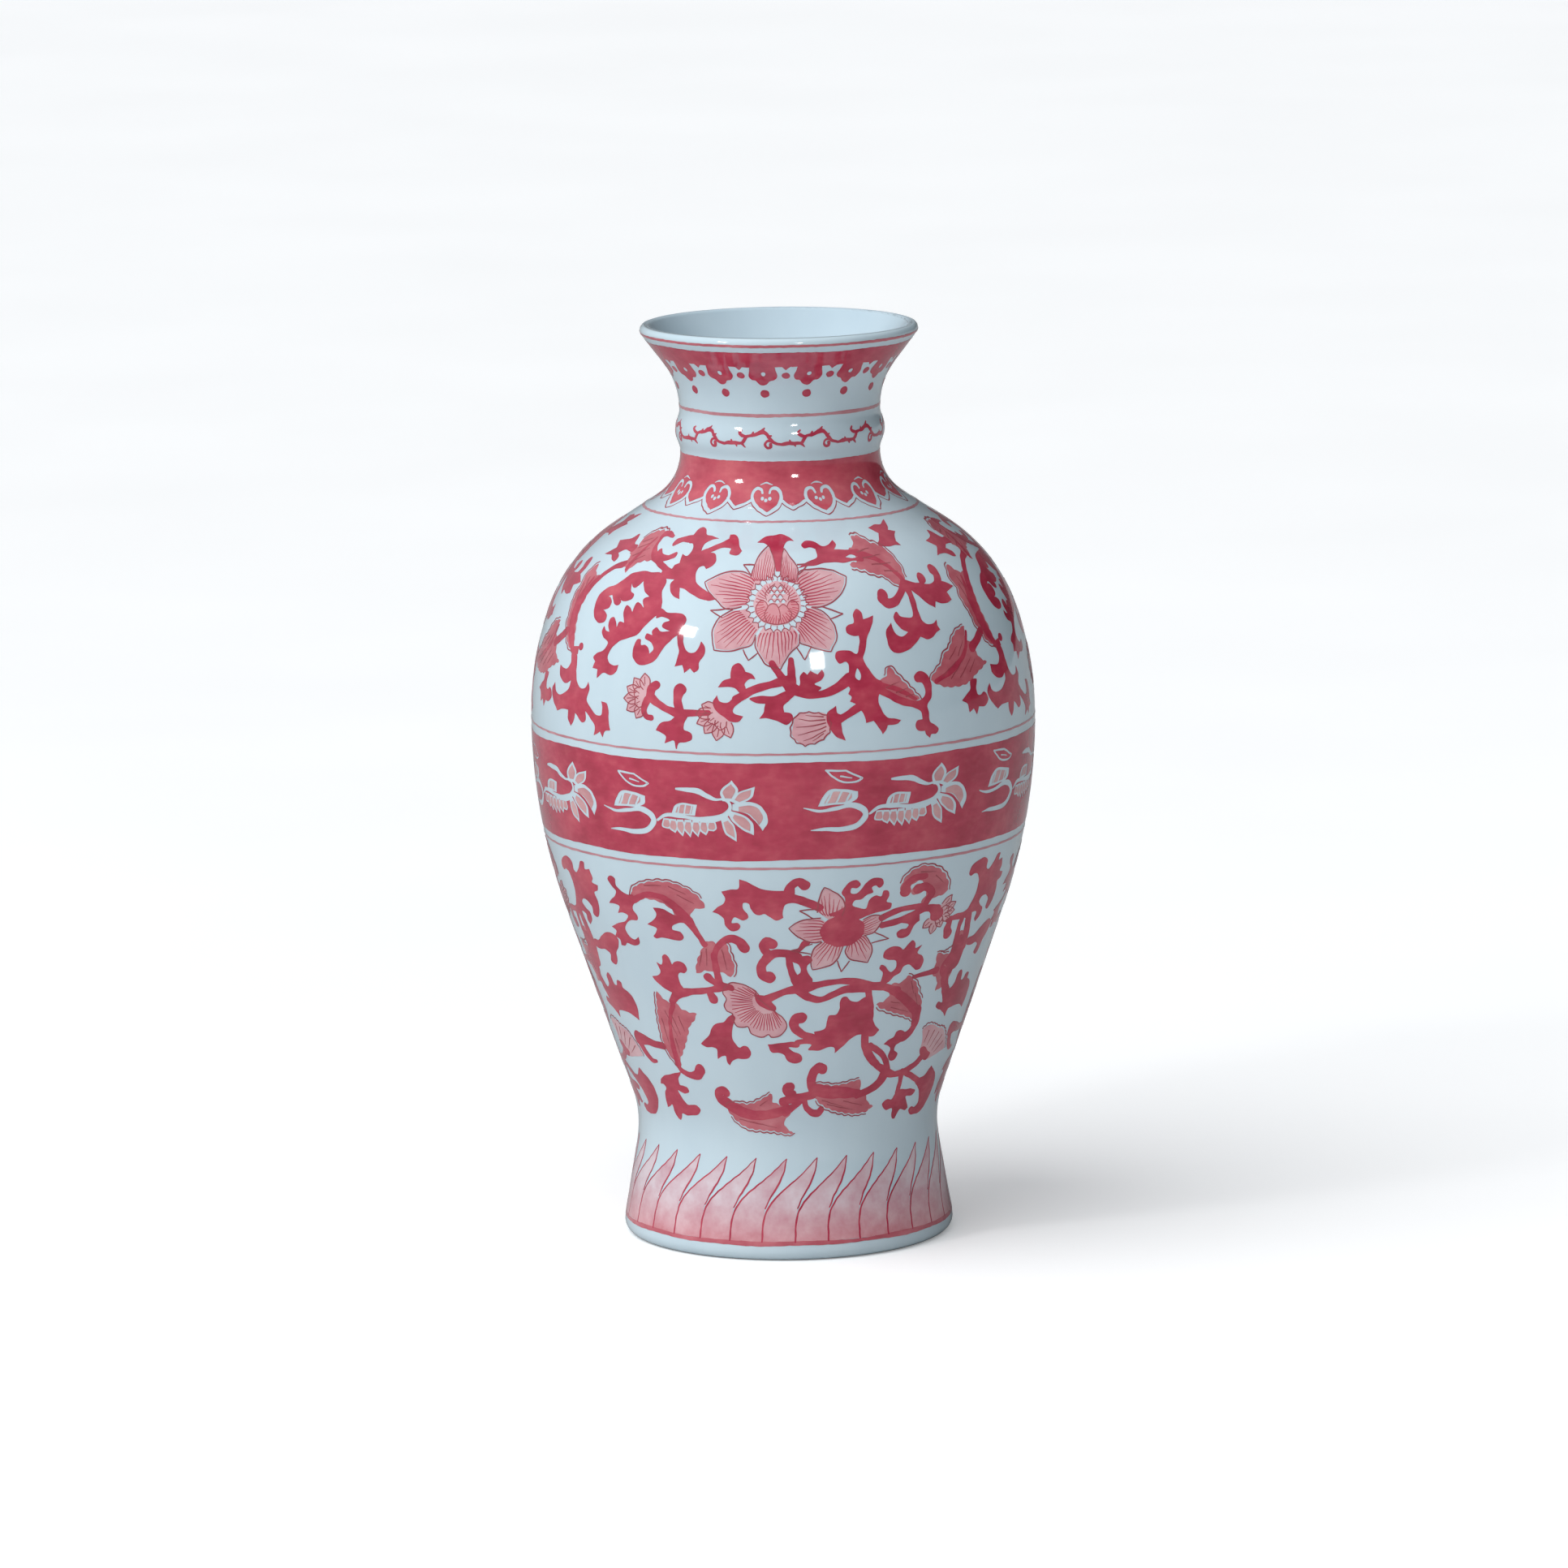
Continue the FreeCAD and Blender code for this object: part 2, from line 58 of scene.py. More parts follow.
class Surface:
    """The finished outer face: radius and outward lean at every height, read from the CAD glaze."""

    def __init__(self, node):
        mesh = node.data
        outward = set()
        for face in mesh.polygons:
            if face.normal.x * face.center.x + face.normal.y * face.center.y > 0:
                outward.update(face.vertices)
        points = {self.outline_point(mesh.vertices[i].co) for i in outward}
        points = np.array(sorted(points, key=lambda point: point[1]))
        apart = np.hypot(*np.diff(points, axis=0).T) > KNOT_GAP
        points = points[np.concatenate([[True], apart])]
        along = np.concatenate([[0], np.cumsum(np.hypot(*np.diff(points, axis=0).T))])
        self.length = along[-1]
        self.along = np.arange(0, self.length, PROFILE_STEP)
        smooth = [self.spline(along, points[:, axis], self.along) for axis in (0, 1)]
        self.radius, self.height = smooth
        self.slope_r = np.gradient(self.radius, self.along)
        self.slope_z = np.gradient(self.height, self.along)

    @staticmethod
    def outline_point(place):
        """Distance from the axis and height of a corner, in mm."""
        return (round(math.hypot(place.x, place.y) / MM, 2), round(place.z / MM, 2))

    @staticmethod
    def spline(knots, values, wanted):
        """Smooth curve through the knots; its slope at each is that of a parabola through three knots."""
        step = np.diff(knots)
        chord = np.diff(values) / step
        slope = np.empty(len(knots))
        slope[1:-1] = (chord[:-1] * step[1:] + chord[1:] * step[:-1]) / (step[:-1] + step[1:])
        slope[0] = 2 * chord[0] - slope[1]
        slope[-1] = 2 * chord[-1] - slope[-2]
        span = np.clip(np.searchsorted(knots, wanted, side="right") - 1, 0, len(step) - 1)
        t = (wanted - knots[span]) / step[span]
        rise = values[span + 1] - values[span]
        bend_low = slope[span] * step[span] - rise
        bend_high = -slope[span + 1] * step[span] + rise
        return values[span] + t * rise + t * (1 - t) * (bend_low * (1 - t) + bend_high * t)

    def at(self, degrees, height, lift):
        """Places and normals, in metres, of points given in degrees and mm, lifted off the glaze."""
        radius = np.interp(height, self.height, self.radius)
        out = np.interp(height, self.height, self.slope_z)
        up = -np.interp(height, self.height, self.slope_r)
        scale = np.hypot(out, up)
        out, up = out / scale, up / scale
        turn = np.asarray(degrees) * DEG
        across = np.stack([np.sin(turn), -np.cos(turn)], axis=-1)
        reach = radius + lift * out
        places = np.column_stack([across * reach[:, None], height + lift * up]) * MM
        normals = np.column_stack([across * out[:, None], up])
        return places, normals


surface = Surface(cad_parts["outer_glaze"])


# ---------------------------------------------------------------- drawing flat shapes

STEP = 0.7           # mm between points along a drawn edge
HAND_SHAKE = 0.06    # mm that a painted edge wavers
SHEET_STEP = 3.6     # mm between the points that let a flat shape follow the vase's curve
ROW_SPACING = 0.87   # gap between rows of those points, as a share of that step
MERGE_GAP = 1e-4     # mm, drawn points closer than this are joined
INSIDE_ONLY = 1      # the triangulation's output type that leaves out what lies outside the shapes
TIP = True           # marks a sharp point of a drawn shape
DISC_POINTS = 18     # points round a dot
STRIP_STEPS = 4      # steps of a stroke's line that one strip of it covers
ROUND_END = 0.25     # mm, a stroke whose half width ends above this gets a round end
RING_STEP = 2        # mm between points along a ring's edges
SEAM_CLEAR = 1       # mm beside the seam that gets no spread points
SEAM_DIGITS = 3      # decimals of a mm to which points on the two seams are matched
TINY = 1e-6          # keeps a division away from zero


def curve_through(points, closed=False):
    """Points about STEP apart along a smooth curve through the given ones."""
    if len(points) == 2 and not closed:
        return straight(*points)
    knots = np.array(points, float)
    if closed:
        knots = np.vstack([knots[-1:], knots, knots[:2]])
    else:
        knots = np.vstack([2 * knots[0] - knots[1], knots, 2 * knots[-1] - knots[-2]])
    drawn = []
    for before, start, end, after in zip(knots, knots[1:], knots[2:], knots[3:]):
        drawn.extend(smooth_span(before, start, end, after))
    return np.array(drawn if closed else drawn + [knots[-2]])


def smooth_span(before, start, end, after):
    """Centripetal Catmull-Rom curve from start to end, without the end point."""
    pairs = ((before, start), (start, end), (end, after))
    gaps = [max(math.sqrt(np.hypot(*(b - a))), TINY) for a, b in pairs]
    times = np.cumsum([0] + gaps)
    count = max(2, int(gaps[1] ** 2 / STEP) + 1)
    t = np.linspace(times[1], times[2], count, endpoint=False)[:, None]

    def mix(a, b, low, high):
        """Points on the way from a to b as t runs from one time to another."""
        return (a * (times[high] - t) + b * (t - times[low])) / (times[high] - times[low])

    first = mix(before, start, 0, 1)
    second = mix(start, end, 1, 2)
    third = mix(end, after, 2, 3)
    return mix(mix(first, second, 0, 2), mix(second, third, 1, 3), 1, 2)


def straight(start, end):
    """Points about STEP apart along a straight line."""
    start, end = np.array(start, float), np.array(end, float)
    count = max(2, int(np.hypot(*(end - start)) / STEP) + 1)
    return start + (end - start) * np.linspace(0, 1, count)[:, None]


def outline(points):
    """A closed shape that runs smoothly through (x, y) and turns sharply at (x, y, TIP)."""
    tips = [index for index, point in enumerate(points) if len(point) == 3]
    plain = [(point[0], point[1]) for point in points]
    if not tips:
        return curve_through(plain, closed=True)
    turned = plain[tips[0]:] + plain[:tips[0]]
    starts = [tip - tips[0] for tip in tips] + [len(turned)]
    turned.append(turned[0])
    sides = [curve_through(turned[first:last + 1])[:-1] for first, last in zip(starts, starts[1:])]
    return np.concatenate(sides)


def disc(x, y, across, tall=None):
    """A round or oval dot."""
    turn = np.linspace(0, 2 * math.pi, DISC_POINTS, endpoint=False)
    return np.column_stack([x + across / 2 * np.cos(turn), y + (tall or across) / 2 * np.sin(turn)])


def stroke(points, widths):
    """A brush stroke along a smooth line, as strips whose width runs through the given widths."""
    line = curve_through(points)
    run = np.concatenate([[0], np.cumsum(np.hypot(*np.diff(line, axis=0).T))])
    places = np.linspace(0, run[-1], len(widths)) if np.ndim(widths) else [0, run[-1]]
    half = np.interp(run, places, widths if np.ndim(widths) else [widths] * 2) / 2
    ahead = np.gradient(line, axis=0)
    ahead /= np.hypot(*ahead.T)[:, None]
    aside = np.column_stack([-ahead[:, 1], ahead[:, 0]]) * half[:, None]
    left, right = line + aside, line - aside
    strips = []
    for first in range(0, len(line) - 1, STRIP_STEPS):
        last = min(first + STRIP_STEPS + 1, len(line))
        strips.append(np.concatenate([left[first:last], right[first:last][::-1]]))
    ends = ((line[0], half[0]), (line[-1], half[-1]))
    strips += [disc(*end, 2 * size) for end, size in ends if size > ROUND_END]
    return strips


def signed_area(shape):
    """Signed area of a closed shape, positive when it runs anticlockwise."""
    x, y = shape.T
    return 0.5 * float(np.sum(x * np.roll(y, -1) - np.roll(x, -1) * y))


class Zone:
    """A height range of the unrolled vase, drawn in mm: x along the girth, y the height."""

    def __init__(self, low, high, girth_radius, repeats):
        self.low, self.high = low, high
        self.mm_per_degree = girth_radius * DEG
        self.repeats = repeats
        self.around = 360 * self.mm_per_degree

    def place(self, points):
        """Degrees and height to this zone's mm; a tip stays a tip."""
        return [(point[0] * self.mm_per_degree, *point[1:]) for point in points]

    def shape(self, points):
        """A filled shape through points in degrees and mm."""
        return [outline(self.place(points))]

    def line(self, points, widths):
        """A brush stroke through points in degrees and mm."""
        return stroke(self.place(points), widths)

    def dot(self, x, y, across, tall=None):
        """A dot at degrees and mm."""
        return [disc(x * self.mm_per_degree, y, across, tall)]

    def repeated(self, shapes):
        """Copies of one repeat's shapes right round the vase, and one more on each side."""
        pitch = self.around / self.repeats
        copies = range(-1, self.repeats + 1)
        return [shape + np.array([pitch * copy, 0]) for copy in copies for shape in shapes]


def hand_drift(degrees, heights):
    """Small wandering of a hand-held brush, in mm along the girth and up, the same for all colours."""
    turn = np.asarray(degrees) * DEG
    along = np.sin(61 * turn + 0.9 * heights) + np.sin(97 * turn - 1.3 * heights)
    up = np.sin(83 * turn - 0.7 * heights) + np.sin(53 * turn + 1.1 * heights)
    return HAND_SHAKE * along, HAND_SHAKE * up


def sheet_points(zone, edges):
    """Points spread over the zone, clear of the drawn edges, plus matching points on its seam."""
    tree = KDTree(len(edges))
    for index, (x, y) in enumerate(edges):
        tree.insert((x, y, 0), index)
    tree.balance()
    spread = []
    rows = int((zone.high - zone.low) / (SHEET_STEP * ROW_SPACING)) + 1
    columns = int(zone.around / SHEET_STEP)
    for row in range(1, rows):
        y = zone.low + (zone.high - zone.low) * row / rows
        spread += [(0.0, y), (zone.around, y)]
        for column in range(1, columns):
            x = zone.around * (column + 0.5 * (row % 2)) / columns
            if x < zone.around - SEAM_CLEAR and tree.find((x, y, 0))[2] > STEP:
                spread.append((x, y))
    return spread


def joined_triangles(zone, shapes, holes):
    """Triangles of everything the shapes cover, less the holes, between the zone's two seams."""
    right = zone.around
    border = np.array([(0, zone.low), (right, zone.low), (right, zone.high), (0, zone.high)])
    corners, faces = [], []
    for shape in [border] + shapes + holes:
        first = len(corners)
        loop = list(range(first, first + len(shape)))
        faces.append(loop if signed_area(shape) > 0 else loop[::-1])
        corners.extend(map(tuple, shape))
    corners += sheet_points(zone, corners)
    corners = [Vector(corner) for corner in corners]
    points, _, triangles, _, _, origins = delaunay_2d_cdt(corners, [], faces, INSIDE_ONLY, MERGE_GAP, True)
    first_hole = 1 + len(shapes)
    kept = []
    for triangle, sources in zip(triangles, origins):
        inside = 0 in sources
        painted = any(0 < source < first_hole for source in sources)
        cut = any(source >= first_hole for source in sources)
        if inside and painted and not cut:
            kept.append(triangle)
    return np.array([(point.x, point.y) for point in points]), kept


# ---------------------------------------------------------------- wrapping shapes on the vase

SUNK = -0.03         # mm below the glaze that enamel starts


def welded(zone, flat, triangles):
    """The used corners, with the sheet's two seams joined, and the triangles between them."""
    number, keys, kept = {}, {}, []
    for corner in sorted({corner for triangle in triangles for corner in triangle}):
        x, y = flat[corner]
        along = round(float(x) % zone.around, SEAM_DIGITS) % round(zone.around, SEAM_DIGITS)
        key = (along, round(float(y), SEAM_DIGITS))
        if key not in keys:
            keys[key] = len(kept)
            kept.append((x, y))
        number[corner] = keys[key]
    faces = [tuple(number[corner] for corner in triangle) for triangle in triangles]
    return np.array(kept), [face for face in faces if len(set(face)) == 3]


def open_edges(faces):
    """The edges that only one of the triangles has, each in the direction in which it has it."""
    sides = {}
    for a, b, c in faces:
        for edge in ((a, b), (b, c), (c, a)):
            if edge[::-1] in sides:
                del sides[edge[::-1]]
            else:
                sides[edge] = True
    return list(sides)


def added(name, data):
    """A new object in the scene."""
    thing = bpy.data.objects.new(name, data)
    bpy.context.scene.collection.objects.link(thing)
    return thing


def wrapped(name, zone, shapes, lift, holes):
    """A closed thin solid of enamel: the joined shapes wrapped on the glaze, lift mm thick."""
    flat, triangles = joined_triangles(zone, list(shapes), list(holes))
    kept, faces = welded(zone, flat, triangles)
    degrees = kept[:, 0] / zone.mm_per_degree
    along, up = hand_drift(degrees, kept[:, 1])
    degrees = degrees + along / zone.mm_per_degree
    heights = kept[:, 1] + up
    top, normals = surface.at(degrees, heights, lift)
    bottom = surface.at(degrees, heights, SUNK)[0]
    count = len(kept)
    walls = [(a, a + count, b + count, b) for a, b in open_edges(faces)]
    under = [(c + count, b + count, a + count) for a, b, c in faces]
    mesh = bpy.data.meshes.new(name)
    mesh.from_pydata(np.concatenate([top, bottom]).tolist(), [], faces + under + walls)
    mesh.polygons.foreach_set("use_smooth", [True] * len(mesh.polygons))
    mesh.normals_split_custom_set_from_vertices(np.concatenate([normals, normals]).tolist())
    piece = added(name, mesh)
    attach(piece, BODY)
    return piece


# ---------------------------------------------------------------- materials

COAT_ROUGHNESS = 0.05
ENAMEL_ROUGHNESS, ENAMEL_COAT = 0.08, 0.35
WASH_FADES = (0.008, 0.026)    # metres, heights between which the foot's wash turns pale


class Shader:
    """A node material being wired up."""

    def __init__(self, name):
        self.material = bpy.data.materials.new(name)
        self.material.use_nodes = True
        self.nodes = self.material.node_tree.nodes
        self.surface = self.nodes["Principled BSDF"]
        self.place = self.add("ShaderNodeTexCoord").outputs["Object"]

    def add(self, kind, **settings):
        """A new node of this kind with its settings."""
        node = self.nodes.new(kind)
        for setting, choice in settings.items():
            setattr(node, setting, choice)
        return node

    def link(self, source, target):
        """Wires an output to an input."""
        self.material.node_tree.links.new(source, target)

    def stretched(self, across, up):
        """Coordinates scaled so that patterns are longer one way than the other."""
        node = self.add("ShaderNodeMapping")
        node.inputs["Scale"].default_value = (across, across, up)
        self.link(self.place, node.inputs["Vector"])
        return node.outputs["Vector"]

    def noise(self, scale, detail, rough=0.55, place=None):
        """Noise from 0 to 1 whose scale is in cells per metre."""
        node = self.add("ShaderNodeTexNoise")
        node.inputs["Scale"].default_value = scale
        node.inputs["Detail"].default_value = detail
        node.inputs["Roughness"].default_value = rough
        self.link(place or self.place, node.inputs["Vector"])
        return node.outputs["Fac"]

    def ramp(self, source, *stops):
        """Colours at stops along a value."""
        node = self.add("ShaderNodeValToRGB")
        ends = node.color_ramp.elements
        while len(ends) < len(stops):
            ends.new(0.5)
        for end, (position, colour) in zip(ends, stops):
            end.position = position
            end.color = (*colour, 1.0)
        self.link(source, node.inputs["Fac"])
        return node.outputs["Color"]

    def mixed(self, first, second, share):
        """One colour laid over another by a share, which is a number or another output."""
        node = self.add("ShaderNodeMix", data_type="RGBA")
        factor = next(socket for socket in node.inputs if socket.name == "Factor" and socket.enabled)
        under = next(socket for socket in node.inputs if socket.name == "A" and socket.enabled)
        over = next(socket for socket in node.inputs if socket.name == "B" and socket.enabled)
        self.link(first, under)
        self.link(second, over)
        if isinstance(share, float):
            factor.default_value = share
        else:
            self.link(share, factor)
        return next(socket for socket in node.outputs if socket.enabled)

    def colour(self, source):
        """The surface's colour."""
        self.link(source, self.surface.inputs["Base Color"])

    def gloss(self, roughness, coat=0.0):
        """How sharply the surface mirrors, with a clear coat over it if wanted."""
        self.surface.inputs["Roughness"].default_value = roughness
        self.surface.inputs["Coat Weight"].default_value = coat
        self.surface.inputs["Coat Roughness"].default_value = COAT_ROUGHNESS

    def glow(self, where, strength):
        """White light of its own, where the given output is 1."""
        node = self.add("ShaderNodeMath", operation="MULTIPLY")
        node.inputs[1].default_value = strength
        self.link(where, node.inputs[0])
        self.surface.inputs["Emission Color"].default_value = (1.0, 1.0, 1.0, 1.0)
        self.link(node.outputs["Value"], self.surface.inputs["Emission Strength"])

    def bump(self, source, strength, height):
        """Small relief, height in metres."""
        node = self.add("ShaderNodeBump")
        node.inputs["Strength"].default_value = strength
        node.inputs["Distance"].default_value = height
        self.link(source, node.inputs["Height"])
        self.link(node.outputs["Normal"], self.surface.inputs["Normal"])


def glaze_material(name, thin, thick):
    """Glossy blue-white glaze: cloudy, a little deeper where it pooled, with an orange-peel skin."""
    shader = Shader(name)
    clouds = shader.noise(14.0, detail=4.0)
    flows = shader.noise(1.0, detail=3.0, place=shader.stretched(55.0, 9.0))
    cloudy = shader.ramp(clouds, (0.3, thin), (0.75, thick))
    streaked = shader.ramp(flows, (0.35, thin), (0.8, thick))
    shader.colour(shader.mixed(cloudy, streaked, 0.4))
    shader.gloss(0.06, coat=0.5)
    shader.bump(shader.noise(90.0, detail=1.0), 0.05, 0.0006)
    return shader.material


def enamel_material(name, deep, middle, pale):
    """Rose enamel laid with a soft brush: pooled dark places, thin pale ones and brush streaks."""
    shader = Shader(name)
    pools = shader.noise(60.0, detail=3.0, rough=0.6)
    streaks = shader.noise(1.0, detail=4.0, place=shader.stretched(160.0, 330.0))
    pooled = shader.ramp(pools, (0.30, deep), (0.5, middle), (0.74, pale))
    streaked = shader.ramp(streaks, (0.30, deep), (0.52, middle), (0.76, pale))
    shader.colour(shader.mixed(pooled, streaked, 0.35))
    shader.gloss(ENAMEL_ROUGHNESS, coat=ENAMEL_COAT)
    shader.bump(streaks, 0.03, 0.0002)
    return shader.material


def bare_porcelain_material():
    """Matt fired clay, slightly warm, with fine grain and turning marks."""
    shader = Shader("bare_porcelain_grain")
    grain = shader.noise(900.0, detail=5.0)
    rings = shader.noise(1.0, detail=2.0, place=shader.stretched(20.0, 700.0))
    grained = shader.ramp(grain, (0.3, (0.66, 0.60, 0.51)), (0.7, (0.83, 0.79, 0.71)))
    ringed = shader.ramp(rings, (0.35, (0.70, 0.65, 0.57)), (0.7, (0.84, 0.80, 0.73)))
    shader.colour(shader.mixed(grained, ringed, 0.5))
    shader.gloss(0.75)
    shader.bump(grain, 0.25, 0.0003)
    return shader.material


def foot_wash_material():
    """Thin pink, mottled by the brush, that deepens towards the foot line."""
    shader = Shader("foot_wash_enamel")
    mottle = shader.noise(70.0, detail=4.0, rough=0.65)
    split = shader.add("ShaderNodeSeparateXYZ")
    shader.link(shader.place, split.inputs["Vector"])
    rise = shader.add("ShaderNodeMapRange")
    rise.inputs["From Min"].default_value, rise.inputs["From Max"].default_value = WASH_FADES
    shader.link(split.outputs["Z"], rise.inputs["Value"])
    low = shader.ramp(mottle, (0.34, (0.56, 0.20, 0.23)), (0.66, (0.67, 0.35, 0.38)))
    high = shader.ramp(mottle, (0.34, (0.57, 0.34, 0.39)), (0.66, (0.67, 0.57, 0.61)))
    shader.colour(shader.mixed(low, high, rise.outputs["Result"]))
    shader.gloss(ENAMEL_ROUGHNESS, coat=ENAMEL_COAT)
    return shader.material


OUTER_GLAZE = glaze_material("outer_glaze_blue_white", (0.56, 0.68, 0.74), (0.50, 0.62, 0.69))
INNER_GLAZE = glaze_material("inner_glaze_blue_white", (0.53, 0.65, 0.72), (0.46, 0.58, 0.66))
RED = enamel_material("rose_red_enamel", (0.33, 0.024, 0.052), (0.44, 0.040, 0.080), (0.56, 0.100, 0.130))
# painted light: a lighter copy of the rose-red enamel for the collar band, brightening it as more light on
# it would
PAINTED_LIT_RED = enamel_material("rose_enamel_painted_lighter",
                            (0.40, 0.050, 0.080), (0.52, 0.080, 0.115), (0.62, 0.145, 0.165))
WASH = enamel_material("rose_wash_enamel", (0.40, 0.07, 0.10), (0.50, 0.12, 0.15), (0.60, 0.21, 0.24))
PALE_LINE = enamel_material("pale_line_enamel", (0.42, 0.15, 0.18), (0.51, 0.22, 0.25), (0.58, 0.31, 0.34))
DEEP_PINK = enamel_material("deep_pink_enamel", (0.48, 0.13, 0.16), (0.60, 0.22, 0.25), (0.66, 0.32, 0.35))
DUSTY_PINK = enamel_material("dusty_pink_enamel", (0.46, 0.20, 0.22), (0.57, 0.30, 0.31), (0.64, 0.41, 0.41))
PINK = enamel_material("thin_pink_enamel", (0.56, 0.25, 0.29), (0.64, 0.36, 0.39), (0.68, 0.47, 0.50))
DARK = enamel_material("dark_red_enamel", (0.26, 0.04, 0.06), (0.33, 0.06, 0.08), (0.42, 0.10, 0.12))
FOOT_WASH = foot_wash_material()
BARE = bare_porcelain_material()


def grey(shade):
    """A neutral colour."""
    return (shade, shade, shade)


def paint_node(node, material):
    """Gives a CAD node its material."""
    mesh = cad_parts[node].data
    mesh.materials.clear()
    mesh.materials.append(material)


# ---------------------------------------------------------------- the glazed body

GIRTH_STEPS = 288    # faces round the skin
SKIN_ROW = 1.4       # mm between rows of the skin
SKIN_DEPTH = 0.35    # mm


def skin_section():
    """Radius and height of the points round the skin's section: up its outside and down its inside."""
    rows = int(surface.length / SKIN_ROW)
    along = np.linspace(0, surface.length - PROFILE_STEP, rows + 1)
    radius = np.interp(along, surface.along, surface.radius)
    height = np.interp(along, surface.along, surface.height)
    out = np.interp(along, surface.along, surface.slope_z)
    up = -np.interp(along, surface.along, surface.slope_r)
    outside = np.column_stack([radius, height])
    inside = np.column_stack([radius - SKIN_DEPTH * out, height - SKIN_DEPTH * up])
    return np.concatenate([outside, inside[::-1]])


def turned_faces(count):
    """Faces between the turned copies of a closed section of count points."""
    faces = []
    for row in range(count):
        above = (row + 1) % count
        for step in range(GIRTH_STEPS):
            beside = (step + 1) % GIRTH_STEPS
            corners = ((row, step), (row, beside), (above, beside), (above, step))
            faces.append([r * GIRTH_STEPS + c for r, c in corners])
    return faces


def turned_glaze():
    """The outer glaze as one finely turned closed skin over the CAD profile."""
    section = skin_section()
    turn = np.linspace(0, 2 * math.pi, GIRTH_STEPS, endpoint=False)
    places = np.stack([
        section[:, :1] * np.sin(turn),
        -section[:, :1] * np.cos(turn),
        np.repeat(section[:, 1:], GIRTH_STEPS, axis=1),
    ], axis=-1).reshape(-1, 3) * MM
    faces = turned_faces(len(section))
    mesh = bpy.data.meshes.new("glazed_surface")
    mesh.from_pydata(places.tolist(), [], faces)
    mesh.polygons.foreach_set("use_smooth", [True] * len(faces))
    mesh.materials.append(OUTER_GLAZE)
    piece = added("glazed_surface", mesh)
    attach(piece, BODY)
    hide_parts("outer_glaze")


turned_glaze()
for glazed_node in ("inner_glaze", "base_glaze"):
    paint_node(glazed_node, INNER_GLAZE)
for bare_node in ("foot_section", "lower_body_section", "shoulder_section", "neck_section",
                  "waist_slip_seam", "belly_slip_seam", "neck_slip_seam"):
    paint_node(bare_node, BARE)


# ---------------------------------------------------------------- painting helpers

PINK_LIFT = 0.07     # mm above the glaze; colours that overlap lie at different heights
PUFF_LIFT = 0.085
RED_LIFT = 0.10
DARK_LIFT = 0.14
EDGE_WIDTH = [0.45, 0.6, 0.45]    # mm, a fine outline from end to end
HAIR_WIDTH = [0.5, 0.42, 0.15]    # mm, one stroke of hatching
FILL_SHARE = 0.94                 # a petal's wash as a share of its outline, which leaves a bare rim
HAIR_RIM = (0.12, 0.76)           # where along a petal's rim its hatching starts, and how far it spreads
HAIR_ROOT = 0.88                  # where hatching starts on the way from the heart to the petal's base
HAIR_REACH, HAIR_STAGGER = 0.84, 0.14    # how near the rim it comes, and how much less every other stroke
FAN_PETAL = (0.45, 0.75)          # where along a blossom's petal it has its full width
FAN_FOLD = (0.55, 0.85)           # where the fold in it runs
FAN_EDGE_WIDTH, FAN_FOLD_WIDTH = 0.45, 0.35    # mm
RING_MARGIN = 1                   # mm of room above and below a brushed ring


def enamel(name, zone, shapes, material, lift, holes=(), instead_of=None):
    """One painted piece: shapes on the vase, less the holes."""
    piece = wrapped(name, zone, shapes, lift, holes)
    piece.data.materials.append(material)
    if instead_of:
        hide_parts(instead_of)


def all_shapes(parts):
    """One list of the shapes of several parts."""
    return [shape for part in parts for shape in part]


def ring(zone, low, high, waver):
    """A ring right round the vase whose edges waver."""
    count = int(zone.around / RING_STEP)
    step = np.arange(-1, count + 2)
    turn = step * 2 * math.pi / count
    along = step * zone.around / count
    lower = low + waver * (np.sin(5 * turn) + np.sin(13 * turn + 1))
    upper = high + waver * (np.sin(7 * turn + 2) + np.sin(11 * turn))
    return [np.concatenate([np.column_stack([along, lower]), np.column_stack([along, upper])[::-1]])]


def paint_line_ring(name, low, high, radius, material, waver):
    """A brushed line in place of the plain painted ring of the same name."""
    zone = Zone(low - RING_MARGIN, high + RING_MARGIN, radius, repeats=1)
    enamel(name + "_brushed", zone, ring(zone, low, high, waver), material, RED_LIFT,
           instead_of="painted_" + name)


def between(start, end, share):
    """The point part of the way from start to end."""
    return (start[0] + (end[0] - start[0]) * share, start[1] + (end[1] - start[1]) * share)


def shrunk(shape, scale):
    """The shape drawn smaller about its middle."""
    middle = shape.mean(axis=0)
    return middle + (shape - middle) * scale


def petal(zone, heart, left, tip, right, hairs):
    """A pointed petal round a heart, from its two sides, base first: fill, outline and hatching."""
    corners = [(*heart, TIP), (*left[0], TIP), *left[1:], (*tip, TIP), *right[:0:-1], (*right[0], TIP)]
    fill = [shrunk(shape, FILL_SHARE) for shape in zone.shape(corners)]
    edge = zone.line([*left, tip], EDGE_WIDTH) + zone.line([*right, tip], EDGE_WIDTH)
    rim = curve_through([*left, tip, *right[::-1]])
    rim_start, rim_spread = HAIR_RIM
    hatch = []
    for hair in range(1, hairs + 1):
        share = hair / (hairs + 1)
        root = between(left[0], right[0], share)
        spot = tuple(rim[int((rim_start + rim_spread * share) * (len(rim) - 1))])
        end = between(root, spot, HAIR_REACH - HAIR_STAGGER * (hair % 2))
        hatch += zone.line([between(heart, root, HAIR_ROOT), root, end], HAIR_WIDTH)
    return fill, edge, hatch


def petals(zone, heart, sides, hairs):
    """Several petals round a heart: all fills, all outlines and all hatching."""
    fills, edges, hatches = [], [], []
    for left, tip, right in sides:
        fill, edge, hatch = petal(zone, heart, left, tip, right, hairs)
        fills += fill
        edges += edge
        hatches += hatch
    return fills, edges, hatches


